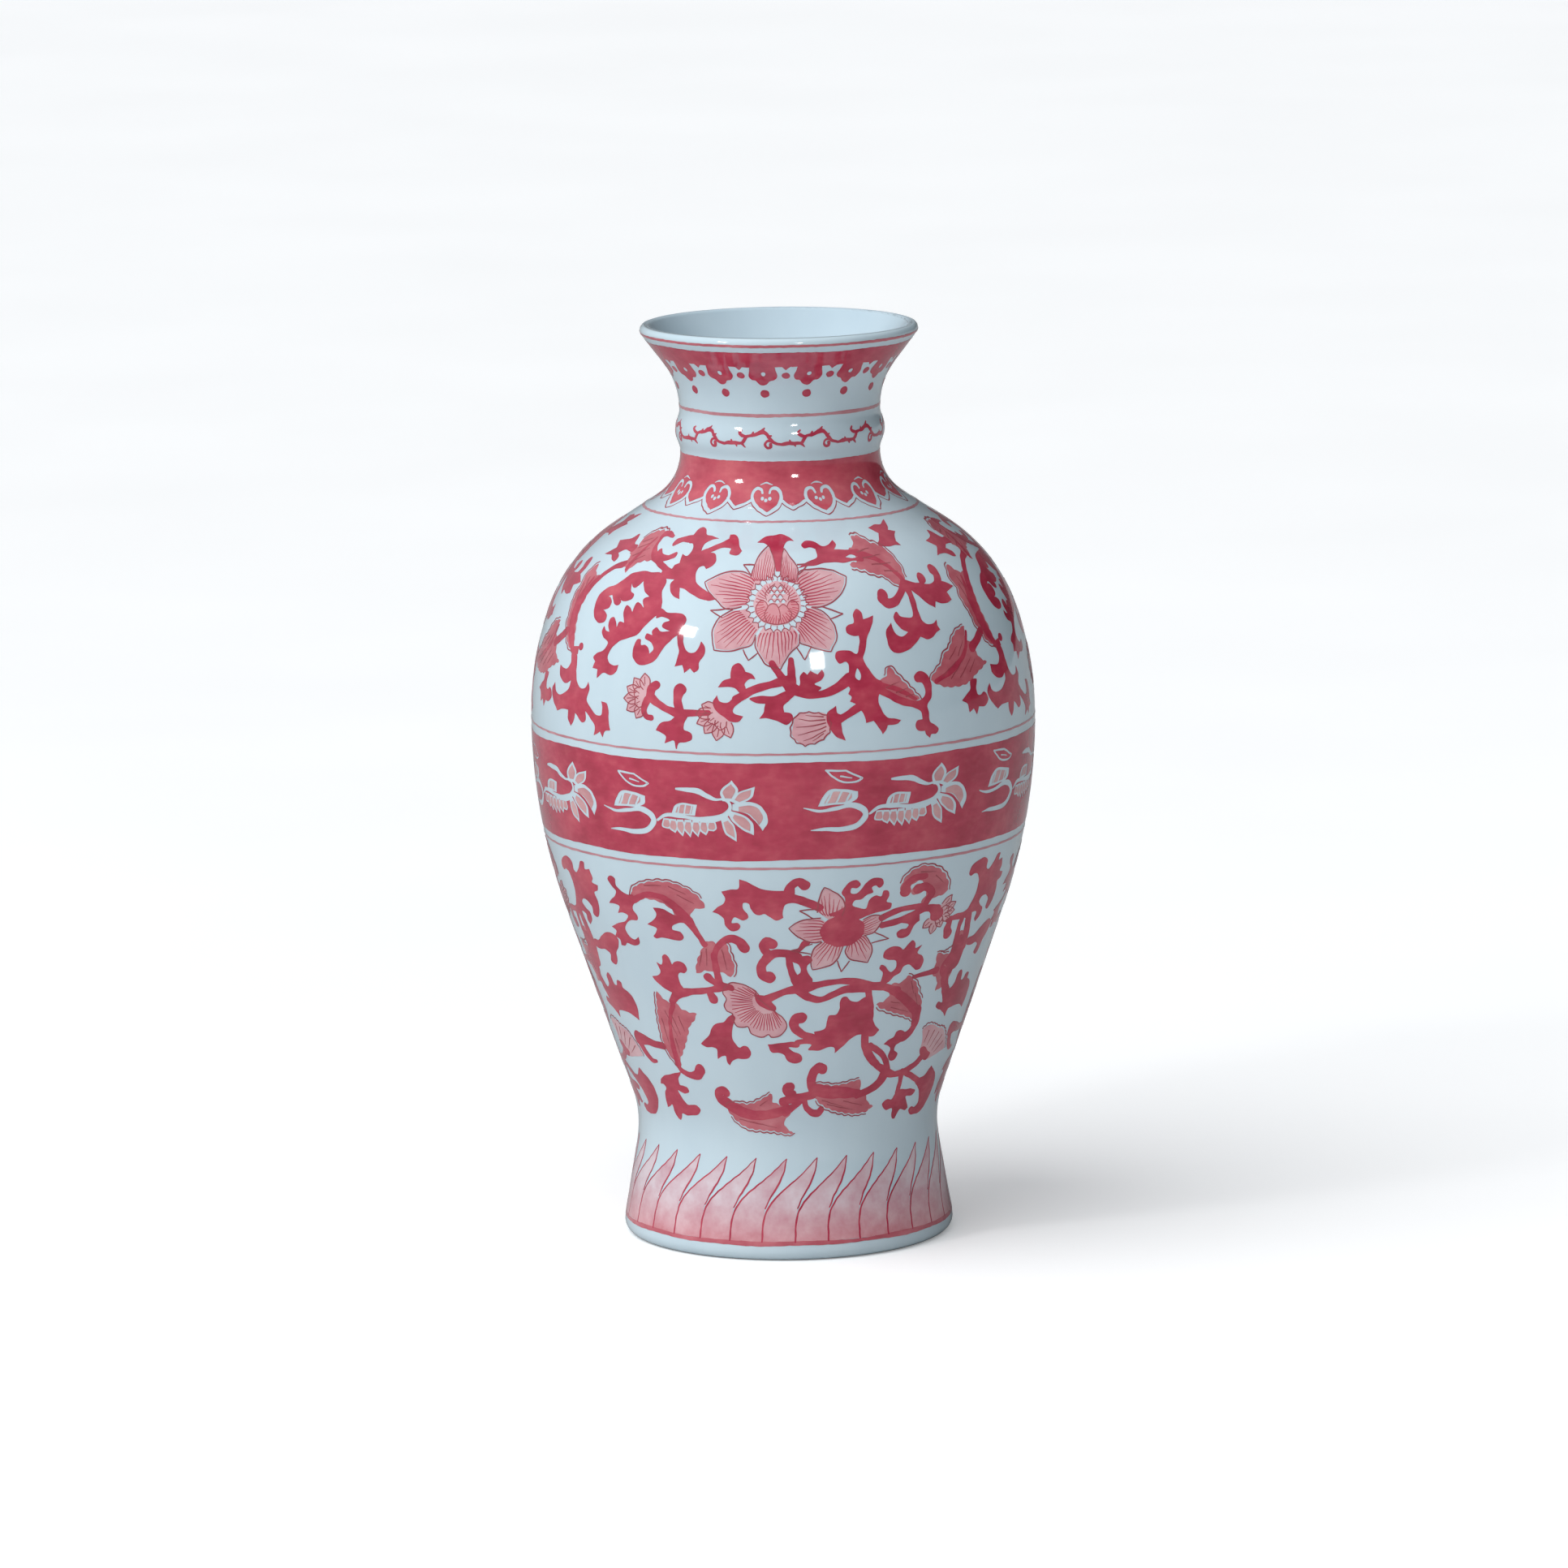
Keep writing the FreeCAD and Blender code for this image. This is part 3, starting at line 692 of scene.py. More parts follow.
def fan(zone, base, tips, spread):
    """A small many-petalled blossom: round-ended petals from one base to each tip, spread mm wide."""
    fills, lines = [], []
    for tip in tips:
        lean_x, lean_y = (tip[0] - base[0]) * zone.mm_per_degree, tip[1] - base[1]
        length = math.hypot(lean_x, lean_y)
        side = (-lean_y / length * spread / 2 / zone.mm_per_degree, lean_x / length * spread / 2)
        middle, end = (between(base, tip, share) for share in FAN_PETAL)
        left = [(middle[0] + side[0], middle[1] + side[1]), (end[0] + side[0], end[1] + side[1])]
        right = [(middle[0] - side[0], middle[1] - side[1]), (end[0] - side[0], end[1] - side[1])]
        edge = [(*base, TIP), *left, (*tip, TIP), *right[::-1]]
        fills += [shrunk(shape, FILL_SHARE) for shape in zone.shape(edge)]
        lines += zone.line([*left, tip], FAN_EDGE_WIDTH) + zone.line([*right, tip], FAN_EDGE_WIDTH)
        lines += zone.line([between(base, tip, share) for share in FAN_FOLD], FAN_FOLD_WIDTH)
    return fills, lines


FRILL_PITCH = 4.2         # mm between the scallops of a leaf's edge
FRILL_DEPTH = 0.6         # mm
FRILL_LINE_DEPTH = 0.5    # mm, the depth of a line's scallops
LEAF_GAP = 0.9            # mm of bare glaze between a washed leaf and the fine line beside it


def frilled_leaf(zone, points, *margins):
    """A leaf with a scalloped edge, and the fine lines beside it from one numbered point to another."""
    edge = outline(zone.place(points))
    step = np.hypot(*(np.roll(edge, -1, axis=0) - edge).T)
    run = np.concatenate([[0], np.cumsum(step[:-1])])
    swell = FRILL_DEPTH * np.abs(np.sin(math.pi * run / FRILL_PITCH))[:, None]
    ahead = np.roll(edge, -1, axis=0) - np.roll(edge, 1, axis=0)
    ahead /= np.maximum(np.hypot(*ahead.T), TINY)[:, None]
    outward = np.column_stack([ahead[:, 1], -ahead[:, 0]]) * math.copysign(1, signed_area(edge))
    corners = [np.array(point[:2]) for point in zone.place(points)]
    lines = []
    for first, last in margins:
        start, end = (int(np.argmin(np.hypot(*(edge - corners[index]).T))) for index in (first, last))
        beside = np.roll(edge + outward * (swell + LEAF_GAP), -start, axis=0)
        lines += stroke(beside[:(end - start) % len(edge) + 1:2], EDGE_WIDTH)
    return [edge + outward * swell], lines


def joined(leaves):
    """The fills and the lines of several leaves."""
    return all_shapes(fill for fill, line in leaves), all_shapes(line for fill, line in leaves)


def sepal(zone, start, tip, end):
    """A small pointed leaf drawn with two fine lines that meet at its tip."""
    return zone.line([start, tip], EDGE_WIDTH) + zone.line([end, tip], EDGE_WIDTH)


def frill(zone, points, waves):
    """A fine line whose course runs in small scallops beside the given one."""
    course = curve_through(zone.place(points))
    ahead = np.gradient(course, axis=0)
    ahead /= np.hypot(*ahead.T)[:, None]
    aside = np.column_stack([-ahead[:, 1], ahead[:, 0]])
    swell = np.abs(np.sin(np.linspace(0, waves * math.pi, len(course))))[:, None]
    return stroke(course + aside * swell * FRILL_LINE_DEPTH, EDGE_WIDTH)


# ---------------------------------------------------------------- rings and lines

# name, lower edge, upper edge and radius in mm, enamel, waver in mm
LINE_RINGS = (
    ("foot_line", 7.0, 8.9, 68.5, WASH, 0.15),
    ("belly_line_lower", 181.0, 182.0, 104.0, PALE_LINE, 0.06),
    ("belly_line_upper", 231.8, 232.7, 110.0, PALE_LINE, 0.06),
    ("shoulder_line", 325.7, 326.4, 62.0, PALE_LINE, 0.04),
    ("neck_line", 369.6, 371.0, 45.0, PALE_LINE, 0.08),
    ("rim_line", 402.0, 403.1, 60.0, WASH, 0.05),
)
for line_ring in LINE_RINGS:
    paint_line_ring(*line_ring)


# ---------------------------------------------------------------- upper scrollwork

# In all the shapes below a point is its turn in degrees and its height in mm, and TIP makes it sharp.
# The numbers after a line's points are its widths in mm from start to end.
UPPER = Zone(low=233.5, high=325.4, girth_radius=103.5, repeats=3)


def upper_left_plant():
    """The curling plant under the long leaf."""
    return UPPER.shape([
        (-59.2, 268.6), (-58.8, 264.7), (-59.9, 261.9), (-62, 261.8), (-63.5, 262.5, TIP), (-63.2, 258.8),
        (-61.1, 255.9), (-59.2, 255.7), (-57.6, 257.3, TIP), (-57.8, 254.4), (-59.7, 251.3), (-62.5, 250),
        (-64.2, 251.2), (-65, 254.6, TIP), (-66.2, 251.6), (-65.2, 247.2), (-62.6, 242.7, TIP),
        (-60.5, 244.2), (-57.6, 244.3, TIP), (-57.4, 240.5), (-56.2, 237.7, TIP), (-55.3, 239.7),
        (-54.6, 243.8, TIP), (-53.7, 242.8), (-51.9, 240.2), (-50.7, 241.3), (-50.8, 245.6, TIP),
        (-48.6, 242.2), (-47.3, 239.5), (-47.6, 235.6, TIP), (-46.4, 236.8), (-45.6, 237.8, TIP),
        (-44.8, 235.4, TIP), (-44, 238), (-42.4, 238.9, TIP), (-42.9, 242.2), (-43.1, 246.8),
        (-43.9, 250.2), (-45.6, 250.8, TIP), (-45.1, 248), (-45.4, 244.8), (-47, 244.7), (-48.9, 247),
        (-50.7, 250.5), (-50, 255), (-50.7, 258.2, TIP), (-51.6, 255.4), (-53.5, 255), (-55.1, 257.6),
        (-55.9, 261.5), (-56.9, 268.5),
    ])


def long_leaf_stems():
    """The stem along the long leaf's inner edge, its curl, and the way up to the feathered leaf."""
    inner = [(-59.4, 270.5), (-61.6, 276.5), (-62.6, 283), (-62.5, 290), (-61, 297), (-58.5, 302.2)]
    return (
        UPPER.line(inner, [2.6, 4.6, 4.4, 4, 3.6, 2.6])
        + UPPER.line([(-58.5, 302.2), (-55.6, 305.6), (-52.4, 307.2)], [2.6, 2.4, 2.8])
        + UPPER.line([(-59.6, 270.2), (-57.8, 270.3), (-56.2, 270.7), (-55.9, 272.2)], [2.6, 3, 3.4, 3.4])
    )


def long_leaf_fill():
    """The long leaf's wash, with a scalloped outer edge."""
    return frilled_leaf(UPPER, [
        (-65.1, 305.2, TIP), (-66.7, 302.5), (-67.4, 299.3), (-66.4, 296.4, TIP), (-67.1, 293),
        (-66.6, 288.4), (-65.7, 284.6, TIP), (-65.4, 280.4), (-63.8, 276.3, TIP), (-62.4, 272.6),
        (-59.4, 269.6, TIP), (-60, 276), (-61.5, 286), (-60.8, 294), (-59.4, 301, TIP), (-61.8, 301),
        (-63.6, 302.5),
    ], (0, 10))


def upper_left_sprays():
    """The spray beyond the feathered leaf, and the stem that runs on to the tall plant."""
    spray = [
        (-53, 314.3), (-55.5, 314.8), (-57, 316.9), (-58.6, 318.2), (-60.1, 316.4), (-65.4, 314.8, TIP),
        (-62.9, 312.2, TIP), (-66.3, 309, TIP), (-62, 309.3), (-59.6, 307.7), (-57.7, 307.4), (-57.5, 309),
        (-59.3, 310.8, TIP), (-57.5, 312.1), (-55, 312), (-53, 312.2),
    ]
    tendril = [(-46.2, 319.4), (-44.5, 319.9), (-43, 319.7), (-41.1, 319.2)]
    stem = [(-45.9, 318.4), (-45.2, 315.3), (-43.2, 312.3), (-40.3, 310.3), (-37, 308.1), (-33, 305.8)]
    bud = [(-41.9, 313.4), (-40, 311.5), (-37.5, 311.4), (-35.2, 312.7)]
    return (
        UPPER.shape(spray)
        + UPPER.line(tendril, [3, 2.2, 1.7, 1])
        + UPPER.line(stem, [1.4, 2.6, 3, 2.6, 2.4, 3])
        + UPPER.line(bud, [2.4, 2.8, 2, 2.6])
    )


def feathered_leaf_fill():
    """The feathered leaf at the upper left, which takes hatching."""
    return frilled_leaf(UPPER, [
        (-53.9, 317.2, TIP), (-51.5, 319.7), (-48, 320.5), (-45.6, 319.4), (-45.2, 316), (-43.8, 312.6),
        (-42, 310.6), (-45.5, 309.6), (-48, 308), (-49.7, 304.7, TIP), (-51.2, 306.4), (-52.6, 307.4),
        (-51.9, 310), (-53.6, 311.6, TIP), (-52.6, 314),
    ], (0, 3))


def tall_plant():
    """The branching plant between the acanthus and the flower."""
    trunk = [
        (-33, 317.6), (-33.3, 320.3), (-33, 322.4), (-31.6, 323.4), (-29.7, 322.6), (-28, 320.8),
        (-25, 320.3), (-22.5, 319.7, TIP), (-25.3, 318.9), (-26.9, 317.3), (-26.6, 315),
        (-25.7, 313.4, TIP), (-23.5, 314.6), (-21.4, 314.1), (-20.3, 311.6), (-20.8, 309.9),
        (-22.6, 308.4, TIP), (-23.6, 309.5), (-24.9, 308.9), (-25.2, 307), (-24.6, 304), (-23, 301.8),
        (-20.4, 299.9), (-17.2, 297, TIP), (-19.5, 296.2), (-22, 297), (-25, 298.8), (-27, 300.2),
        (-28.7, 300.7, TIP), (-28.3, 299), (-27.7, 296.3, TIP), (-29.5, 297.1), (-31, 299), (-31.9, 301.8),
        (-31.2, 303.8, TIP), (-34, 303.6), (-36.2, 303.2), (-36.2, 307), (-34, 306.6), (-33.3, 309.1, TIP),
        (-32, 310, TIP), (-32.7, 313.4, TIP), (-30.5, 312.8), (-30, 315.2), (-31.2, 317.2),
    ]
    hand = [
        (-18.6, 319), (-18.9, 321.2, TIP), (-17, 321.2), (-15.3, 319.9), (-14.4, 317.6),
        (-12.9, 315.5, TIP), (-13.5, 314.3), (-15, 313.9), (-16.9, 314.6), (-16.7, 316.3, TIP),
        (-18.3, 317),
    ]
    return (
        UPPER.shape(trunk)
        + UPPER.shape(hand)
        + UPPER.line([(-38.3, 317.3), (-35.5, 318.7), (-33, 319)], [2.8, 2.2, 2.8])
        + UPPER.line([(-26, 314.2), (-22.5, 316.2), (-19.5, 317.8), (-17.5, 318.3)], [2.2, 2.1, 2.4, 3.5])
    )


def acanthus():
    """The big acanthus leaf that curls left, with the fan on its stem."""
    return UPPER.shape([
        (-33.4, 302.5), (-36, 305.5), (-40, 305.7), (-44, 305.5), (-47, 304), (-49, 301), (-50.6, 299.2),
        (-53, 297.7), (-55.2, 294.5), (-55.3, 290), (-54, 285.6), (-51.5, 283.2), (-49.3, 284.1),
        (-49, 286.4), (-50.2, 288), (-52.6, 289.4, TIP), (-50.9, 288.7), (-49.3, 289.9), (-49.2, 292.2),
        (-50.3, 294), (-51.4, 294.2, TIP), (-50, 294.9), (-49, 293.2), (-47.8, 291.6), (-46.4, 291.4),
        (-45.8, 292.7), (-47.5, 295.4, TIP), (-46.2, 293.7), (-44.2, 293.4), (-42.4, 294.6), (-42.4, 296.4),
        (-44, 297.8), (-44.9, 300.6, TIP), (-43.9, 299.2), (-42.5, 299.3), (-41.2, 302.1, TIP),
        (-40.2, 299.8), (-38.8, 297.6), (-37.1, 296.2, TIP), (-38.6, 294.9), (-37.6, 291.6, TIP),
        (-39.3, 293.3), (-40.4, 293.4), (-40.8, 289.4, TIP), (-42, 291.3), (-43.4, 291.9), (-43.8, 289.8),
        (-43, 286.6), (-42.4, 284.8, TIP), (-44.2, 284.8), (-44.5, 282.4, TIP), (-45.4, 285),
        (-46.5, 286.4), (-47.5, 285.6), (-47.6, 283.2), (-46.7, 280.2, TIP), (-48, 280.7), (-48.9, 282.1),
        (-49.2, 280), (-48.2, 277.7), (-46.2, 275.7), (-47.3, 272.4), (-49.4, 270.6), (-50.3, 268.9),
        (-49.4, 267.2, TIP), (-49.9, 264.3, TIP), (-48.1, 264, TIP), (-48, 260.4, TIP), (-46, 262.9),
        (-43.6, 262.5), (-41.9, 264.4), (-41.6, 267.3, TIP), (-43, 266.6), (-44.5, 267.5), (-45.4, 269.8),
        (-44.8, 273.2), (-43.1, 276.4), (-40.3, 278.7), (-37.6, 280.4), (-36.1, 283.6), (-34.8, 286.3),
        (-32.4, 290.9), (-32.5, 294.7), (-33.7, 298.8),
    ])


def hooked_leaf():
    """The leaf with a hooked end below the tall plant, and the small bell flower it carries."""
    leaf = [
        (-32.6, 292), (-30.2, 290.7), (-27.5, 290.7), (-25.5, 290.3), (-24.4, 288.2), (-24.9, 285.5),
        (-25.6, 282.6), (-27.5, 279.8), (-29.8, 275), (-30.9, 271.4), (-33, 268.8), (-35.5, 268.3),
        (-37.5, 270.8), (-37.9, 274.7), (-37.2, 278.5), (-36.1, 278.8), (-35.8, 276.5), (-34.6, 276.6),
        (-33.6, 275.6), (-33, 273.2, TIP), (-32.1, 275), (-32.8, 277.6), (-35, 279.6), (-34.8, 281.4),
        (-33, 280.9, TIP), (-33.3, 282.8), (-32.3, 284.4), (-31, 282.8), (-28.3, 283.2, TIP),
        (-30.7, 284.6), (-30.5, 286.4), (-29, 287.4), (-31.4, 288.8), (-33, 288),
    ]
    bell = [
        (-26, 282.5), (-25.9, 279), (-25.2, 274.7), (-25.9, 268.6, TIP), (-23.9, 269.6, TIP),
        (-23.3, 266.2, TIP), (-21.9, 268.4, TIP), (-20.9, 266.6, TIP), (-19.9, 268), (-19.8, 271),
        (-18.8, 273.8), (-18.6, 277.2), (-19.7, 279.7, TIP), (-20.2, 277.6), (-21, 275.2), (-22.4, 274.8),
        (-23.6, 276.4), (-24.3, 279), (-24.9, 283.5),
    ]
    return UPPER.shape(leaf) + UPPER.shape(bell)


def low_left_branch():
    """The branch that carries the two small many-petalled flowers."""
    leaf = [
        (-24.4, 248.6), (-26, 245.8), (-28.3, 244.6), (-29.7, 241.1, TIP), (-28.2, 240.3), (-27.1, 238.8),
        (-27.4, 235.6, TIP), (-26.2, 236.7), (-25.1, 237.3), (-24.6, 232.6, TIP), (-23.8, 236.2),
        (-22.3, 236.7), (-20.8, 238.2), (-20.7, 240.2), (-21.6, 241.4), (-22.6, 242.2), (-22.7, 245),
        (-21.8, 248.2),
    ]
    trefoil = [
        (-9.4, 258.4), (-11, 260.6), (-12.8, 261.2), (-14.9, 260.9, TIP), (-13.9, 263.4), (-12, 264.9, TIP),
        (-12.1, 267.6), (-11.6, 270), (-10.3, 271.2), (-9.2, 269.8), (-8.6, 267.6, TIP), (-7.1, 266.8),
        (-6.2, 264.4, TIP), (-7.6, 264.6), (-8.8, 262.6), (-8.4, 260.4),
    ]
    calyx = [
        (-15.1, 257.6, TIP), (-14.5, 255), (-12.6, 254.6), (-10.4, 257.5), (-9.2, 255.6), (-11, 252.6),
        (-11.3, 250.4), (-9, 248.6, TIP), (-10, 246.4), (-11.8, 246.4), (-13.6, 248.6), (-15.2, 251),
        (-16, 254.2),
    ]
    return (
        UPPER.shape(leaf)
        + UPPER.shape(trefoil)
        + UPPER.shape(calyx)
        + UPPER.line([(-10.5, 256), (-6.5, 260.2), (-2, 262.6), (1.5, 264.4)], [3.8, 3.4, 3.2, 4])
        + UPPER.line([(-17, 249.8), (-20, 249.6), (-23.5, 249.2), (-25.5, 249.6)], [2.4, 2.6, 3.6, 3.4])
        + UPPER.line([(-23.8, 250), (-24.5, 254.5), (-24.2, 258.6)], [4, 3.6, 5])
        + UPPER.line([(-25, 249.3), (-27.5, 250.9), (-30, 253.3), (-31.5, 255.5)], [3.6, 2.8, 3.2, 4.2])
        + UPPER.line([(-31.6, 255.5), (-31.2, 259), (-30.2, 260.4)], [4, 4.2, 3.8])
        + UPPER.line([(-32.2, 254), (-33, 249.6), (-32.2, 246.6), (-31, 246.3)], [3.4, 3, 2.4, 2.6])
        + UPPER.dot(-24, 259.2, 5.6, 5)
    )


def low_right_leaves():
    """The two leaves that start the branch under the flower."""
    low_leaf = [
        (3.2, 259.4), (1.4, 255.5), (0.1, 253.3), (0.2, 250.6, TIP), (1.9, 249.8), (2.1, 247.6),
        (0.8, 245.2), (-1.4, 246.8), (-3.7, 248.1), (-5.4, 247.8, TIP), (-4.4, 250.4), (-4.2, 252.6),
        (-4, 254.3, TIP), (-6.2, 254.6), (-7.6, 256.4), (-5.4, 257.4), (-2, 257.6), (1, 259.6),
    ]
    lobed_leaf = [
        (3.2, 259), (3.9, 262.5), (3.9, 265.4), (4.8, 267.5, TIP), (5.6, 266.2, TIP), (6.3, 268, TIP),
        (8, 266.2, TIP), (9.1, 268, TIP), (9.6, 265.9), (8.6, 263.5), (7.3, 262.2), (8.8, 260.6),
        (7, 258.6),
    ]
    return UPPER.shape(low_leaf) + UPPER.shape(lobed_leaf)


def low_right_branch():
    """The branch under the flower that runs right, with its bud's calyx."""
    trunk = [
        (12.4, 272.6), (12.7, 275), (14, 275.7), (16, 275.5), (17.6, 274), (18.6, 278), (18.7, 281.4, TIP),
        (17.1, 281.6), (15.8, 282.8), (15.6, 284.8), (16.4, 286.1), (17.8, 286.8), (18, 290.1),
        (19.1, 292.4), (20.3, 290.6), (20.5, 288, TIP), (23.2, 289.2, TIP), (22.8, 286.3), (21.7, 283.4),
        (20.6, 279.7), (19.8, 274.8), (19.1, 271.8), (20.3, 267.4), (21.7, 263.4), (23.2, 261.4),
        (22.6, 257.4), (21.9, 254.8), (22.6, 249.8), (24, 246.2), (25.8, 245.6), (27.3, 244.7, TIP),
        (26.3, 243.2), (23.9, 242.9, TIP), (23.5, 241.2), (22.6, 239.2, TIP), (21.7, 242.2),
        (20.6, 245.3, TIP), (18.7, 244.6, TIP), (18.5, 247.6), (17.8, 249.8), (16.5, 253),
        (15.2, 254.2, TIP), (15.6, 256), (14.9, 257.4, TIP), (15.4, 259.7), (14.3, 262), (14.4, 264.8),
        (15.3, 266.2), (15.4, 269.6), (14.8, 271), (13.4, 270.2),
    ]
    calyx = [
        (11.9, 252.7, TIP), (12.2, 249.6), (13.4, 248.2), (13, 245.4), (13.2, 241.6), (13.9, 237.6, TIP),
        (11.9, 239.2), (10.6, 242.4), (9.9, 245.4), (9.7, 249.2),
    ]
    return (
        UPPER.shape(trunk)
        + UPPER.shape(calyx)
        + UPPER.line([(-2.5, 271), (-0.9, 267), (0.6, 263), (1.6, 260.6)], [2.8, 2.8, 3.4, 4])
        + UPPER.line([(1.9, 272.4), (2, 267), (1.8, 262)], [2.4, 3.4, 4.4])
        + UPPER.line([(1.6, 261), (5, 258.3), (9, 257.9), (12.6, 260.4), (15.4, 264)], [5, 3.8, 3, 4, 5])
        + UPPER.line([(12.6, 246.6), (15, 249.2), (17.6, 252)], [3, 3, 4])
    )


def trunk_opening():
    """The small gap between the trunk's two stems."""
    return UPPER.shape([(17.4, 267.9), (18.2, 265.2), (17.8, 263), (16.9, 264.2)])


def upper_right_sprays():
    """The sprays right of the flower: over it and beyond the broad leaf."""
    over = [
        (4.6, 309.2, TIP), (8, 311.4), (11.2, 313.2), (11.2, 315.9, TIP), (9.4, 316.7), (7.4, 316.4),
        (6.7, 317.4), (7.8, 318.7), (10, 319), (12.1, 318.1), (13.8, 316.9), (16, 317.3),
        (18.1, 318.9, TIP), (18.7, 317.3), (17.3, 315.6, TIP), (20, 315.2), (23, 315), (25.6, 314.8),
        (25.6, 310.6), (22.5, 311), (19.5, 310.4), (15, 310.9), (10, 310),
    ]
    top_right = [
        (33.6, 316), (35.7, 318), (37.3, 319.9, TIP), (34.7, 322.1, TIP), (38.3, 323), (40.8, 322.8),
        (43.1, 323.6), (45.2, 324.3, TIP), (44, 322), (42.5, 320.5, TIP), (45.2, 319.9, TIP), (43, 318.2),
        (41.6, 316.4, TIP), (42.1, 314.7, TIP), (39.4, 315.1), (36.6, 314.9), (34, 315.4),
    ]
    return UPPER.shape(over) + UPPER.shape(top_right)


def right_lobed_leaves():
    """The lobed leaf at the right, the one that hangs under it, and the hook beside them."""
    right_leaf = [
        (35.4, 302), (38.5, 300.4), (40.3, 300.2, TIP), (40.3, 302.6), (41.5, 304.1), (42.8, 303),
        (42.8, 300.8), (41.6, 299.4, TIP), (43.8, 299.3), (45.7, 300.1), (46.5, 302.2, TIP), (45.8, 303.8),
        (46.3, 305.9), (47.7, 306.6), (48.9, 305.2), (49.1, 302.2), (48.3, 299.6, TIP), (50, 298.5),
        (51.8, 296.9, TIP), (50, 295.9), (48.2, 295, TIP), (48.8, 291.7, TIP), (46.8, 290.8), (44.9, 290.9),
        (42.9, 292, TIP), (42.1, 289.6, TIP), (39.8, 292.1), (38, 295.4), (36, 298.8),
    ]
    hanging = [
        (34.4, 301), (34.8, 295.5), (34.7, 290.5), (34.2, 287.2), (32.5, 287.1), (30.7, 288), (29.9, 289.9),
        (28.7, 288), (29, 285.8), (30.1, 283), (31.9, 281.2, TIP), (29.8, 279.6), (28.2, 281.4),
        (27.7, 285.7, TIP), (26.1, 283), (25.8, 278.6), (26.4, 274.7), (28.3, 272.9), (31.1, 273.9),
        (33.4, 276.2), (35.2, 278.7, TIP), (37.1, 277.3), (38.9, 278), (40.2, 279.6), (41.5, 280.4, TIP),
        (41, 282.6, TIP), (41.2, 284.9, TIP), (39.8, 283.5), (38, 283.4), (36.8, 285.1), (36.4, 288),
        (36.5, 294.7), (36.2, 301),
    ]
    return (
        UPPER.shape(right_leaf)
        + UPPER.shape(hanging)
        + UPPER.line([(35.2, 300.8), (32.8, 297), (30.4, 294), (28.2, 293.6), (27, 295.6)],
                     [3.8, 3, 3.2, 4, 5])
        + UPPER.dot(27.3, 297, 5.4, 5)
    )


def over_slit():
    """The light slit where the spray meets the broad leaf."""
    return UPPER.shape([(20, 312.6, TIP), (22, 313.2), (24.6, 312.3, TIP), (22, 311.9)])


def low_right_sprays():
    """The hooked stem beside the low leaf, and the fan under the hatched leaf."""
    stem = [
        (22, 261), (21, 258.6), (24.6, 254.2), (27.4, 251.2), (30.6, 249.4), (32.6, 247.2),
        (32.8, 244, TIP), (31.3, 243.5), (30.9, 241.4), (31.6, 239.4), (33.4, 238.9, TIP), (33.7, 237),
        (34.7, 235.6, TIP), (35, 237.2), (36.4, 237.2), (37.1, 238.9), (36.1, 241), (34.9, 242.4),
        (34.6, 246.4), (34.4, 249.9), (35.4, 252.2), (36, 256), (35.8, 260.4), (34.7, 263.6), (32.8, 264.4),
        (31.5, 262.6), (32, 260.1), (33.4, 259.6), (34.1, 257.2), (33.8, 253.8), (32.2, 252.2), (28.4, 254),
        (24.6, 257.8),
    ]
    fan_leaf = [
        (48.2, 257.4), (47.7, 253.8), (46.3, 251.9), (44.6, 249.5, TIP), (46.2, 247.8), (46.8, 244, TIP),
        (48.2, 245.4, TIP), (49.2, 242.5, TIP), (50.2, 245.6, TIP), (52.3, 245.5), (53.8, 248),
        (53.4, 250.4), (52.3, 251.6), (51.2, 250.5), (50.1, 251), (49.8, 253.4), (50.3, 257.6),
    ]
    return (
        UPPER.shape(stem)
        + UPPER.shape(fan_leaf)
        + UPPER.line([(50.8, 271), (53.3, 273.7), (55.6, 276.8)], [4, 3.8, 4])
    )


def washed_leaf_fills():
    """The broad leaf, the low leaf and the hatched leaf on the right."""
    broad = [
        (20.7, 309.4, TIP), (24, 311.4), (22.6, 315), (24.8, 316.3), (25.6, 319.2, TIP), (27.4, 319.7),
        (29.6, 318.2, TIP), (31.5, 316.4), (33.4, 315.6), (35.2, 313.4), (36.1, 310.1), (36.4, 306.3),
        (35.9, 303), (34.8, 301.2, TIP), (33.4, 300.4), (31.5, 302.5), (29.8, 305, TIP), (27, 305.8),
        (24.7, 307.5, TIP), (22.8, 308.2),
    ]
    low = [
        (22.2, 261.2), (24.4, 263.4), (25.3, 267.7, TIP), (26.9, 263.8), (29.1, 259.4), (30.9, 255.6),
        (32.2, 253.1, TIP), (29, 252), (25, 256),
    ]
    hatched = [
        (36.1, 260.1, TIP), (37.8, 263.3), (39.8, 265.9), (40.9, 269.6, TIP), (43.4, 272.5),
        (44.8, 275.9, TIP), (46.8, 278.7), (49.9, 280.1, TIP), (49, 277), (49.6, 273.7, TIP),
        (51.8, 273, TIP), (51.6, 269.6), (52.8, 265.9), (55, 263.7, TIP), (53, 262.1), (50.3, 260, TIP),
        (47.7, 257.2), (43.1, 256.2), (39.4, 257.3),
    ]
    return joined([
        frilled_leaf(UPPER, broad, (4, 12), (14, 0)), frilled_leaf(UPPER, low, (1, 6)),
        frilled_leaf(UPPER, hatched, (0, 7)),
    ])


def bud_fill():
    """The round bud on the low right branch."""
    return UPPER.shape([
        (3, 249.3), (5.5, 249.8), (8.3, 250.1), (9.9, 248.8), (10.4, 244.7), (9.7, 240.5), (7.4, 237.6),
        (4.8, 236.2, TIP), (2.8, 238.4), (1.9, 241.4), (2.3, 245.5),
    ])


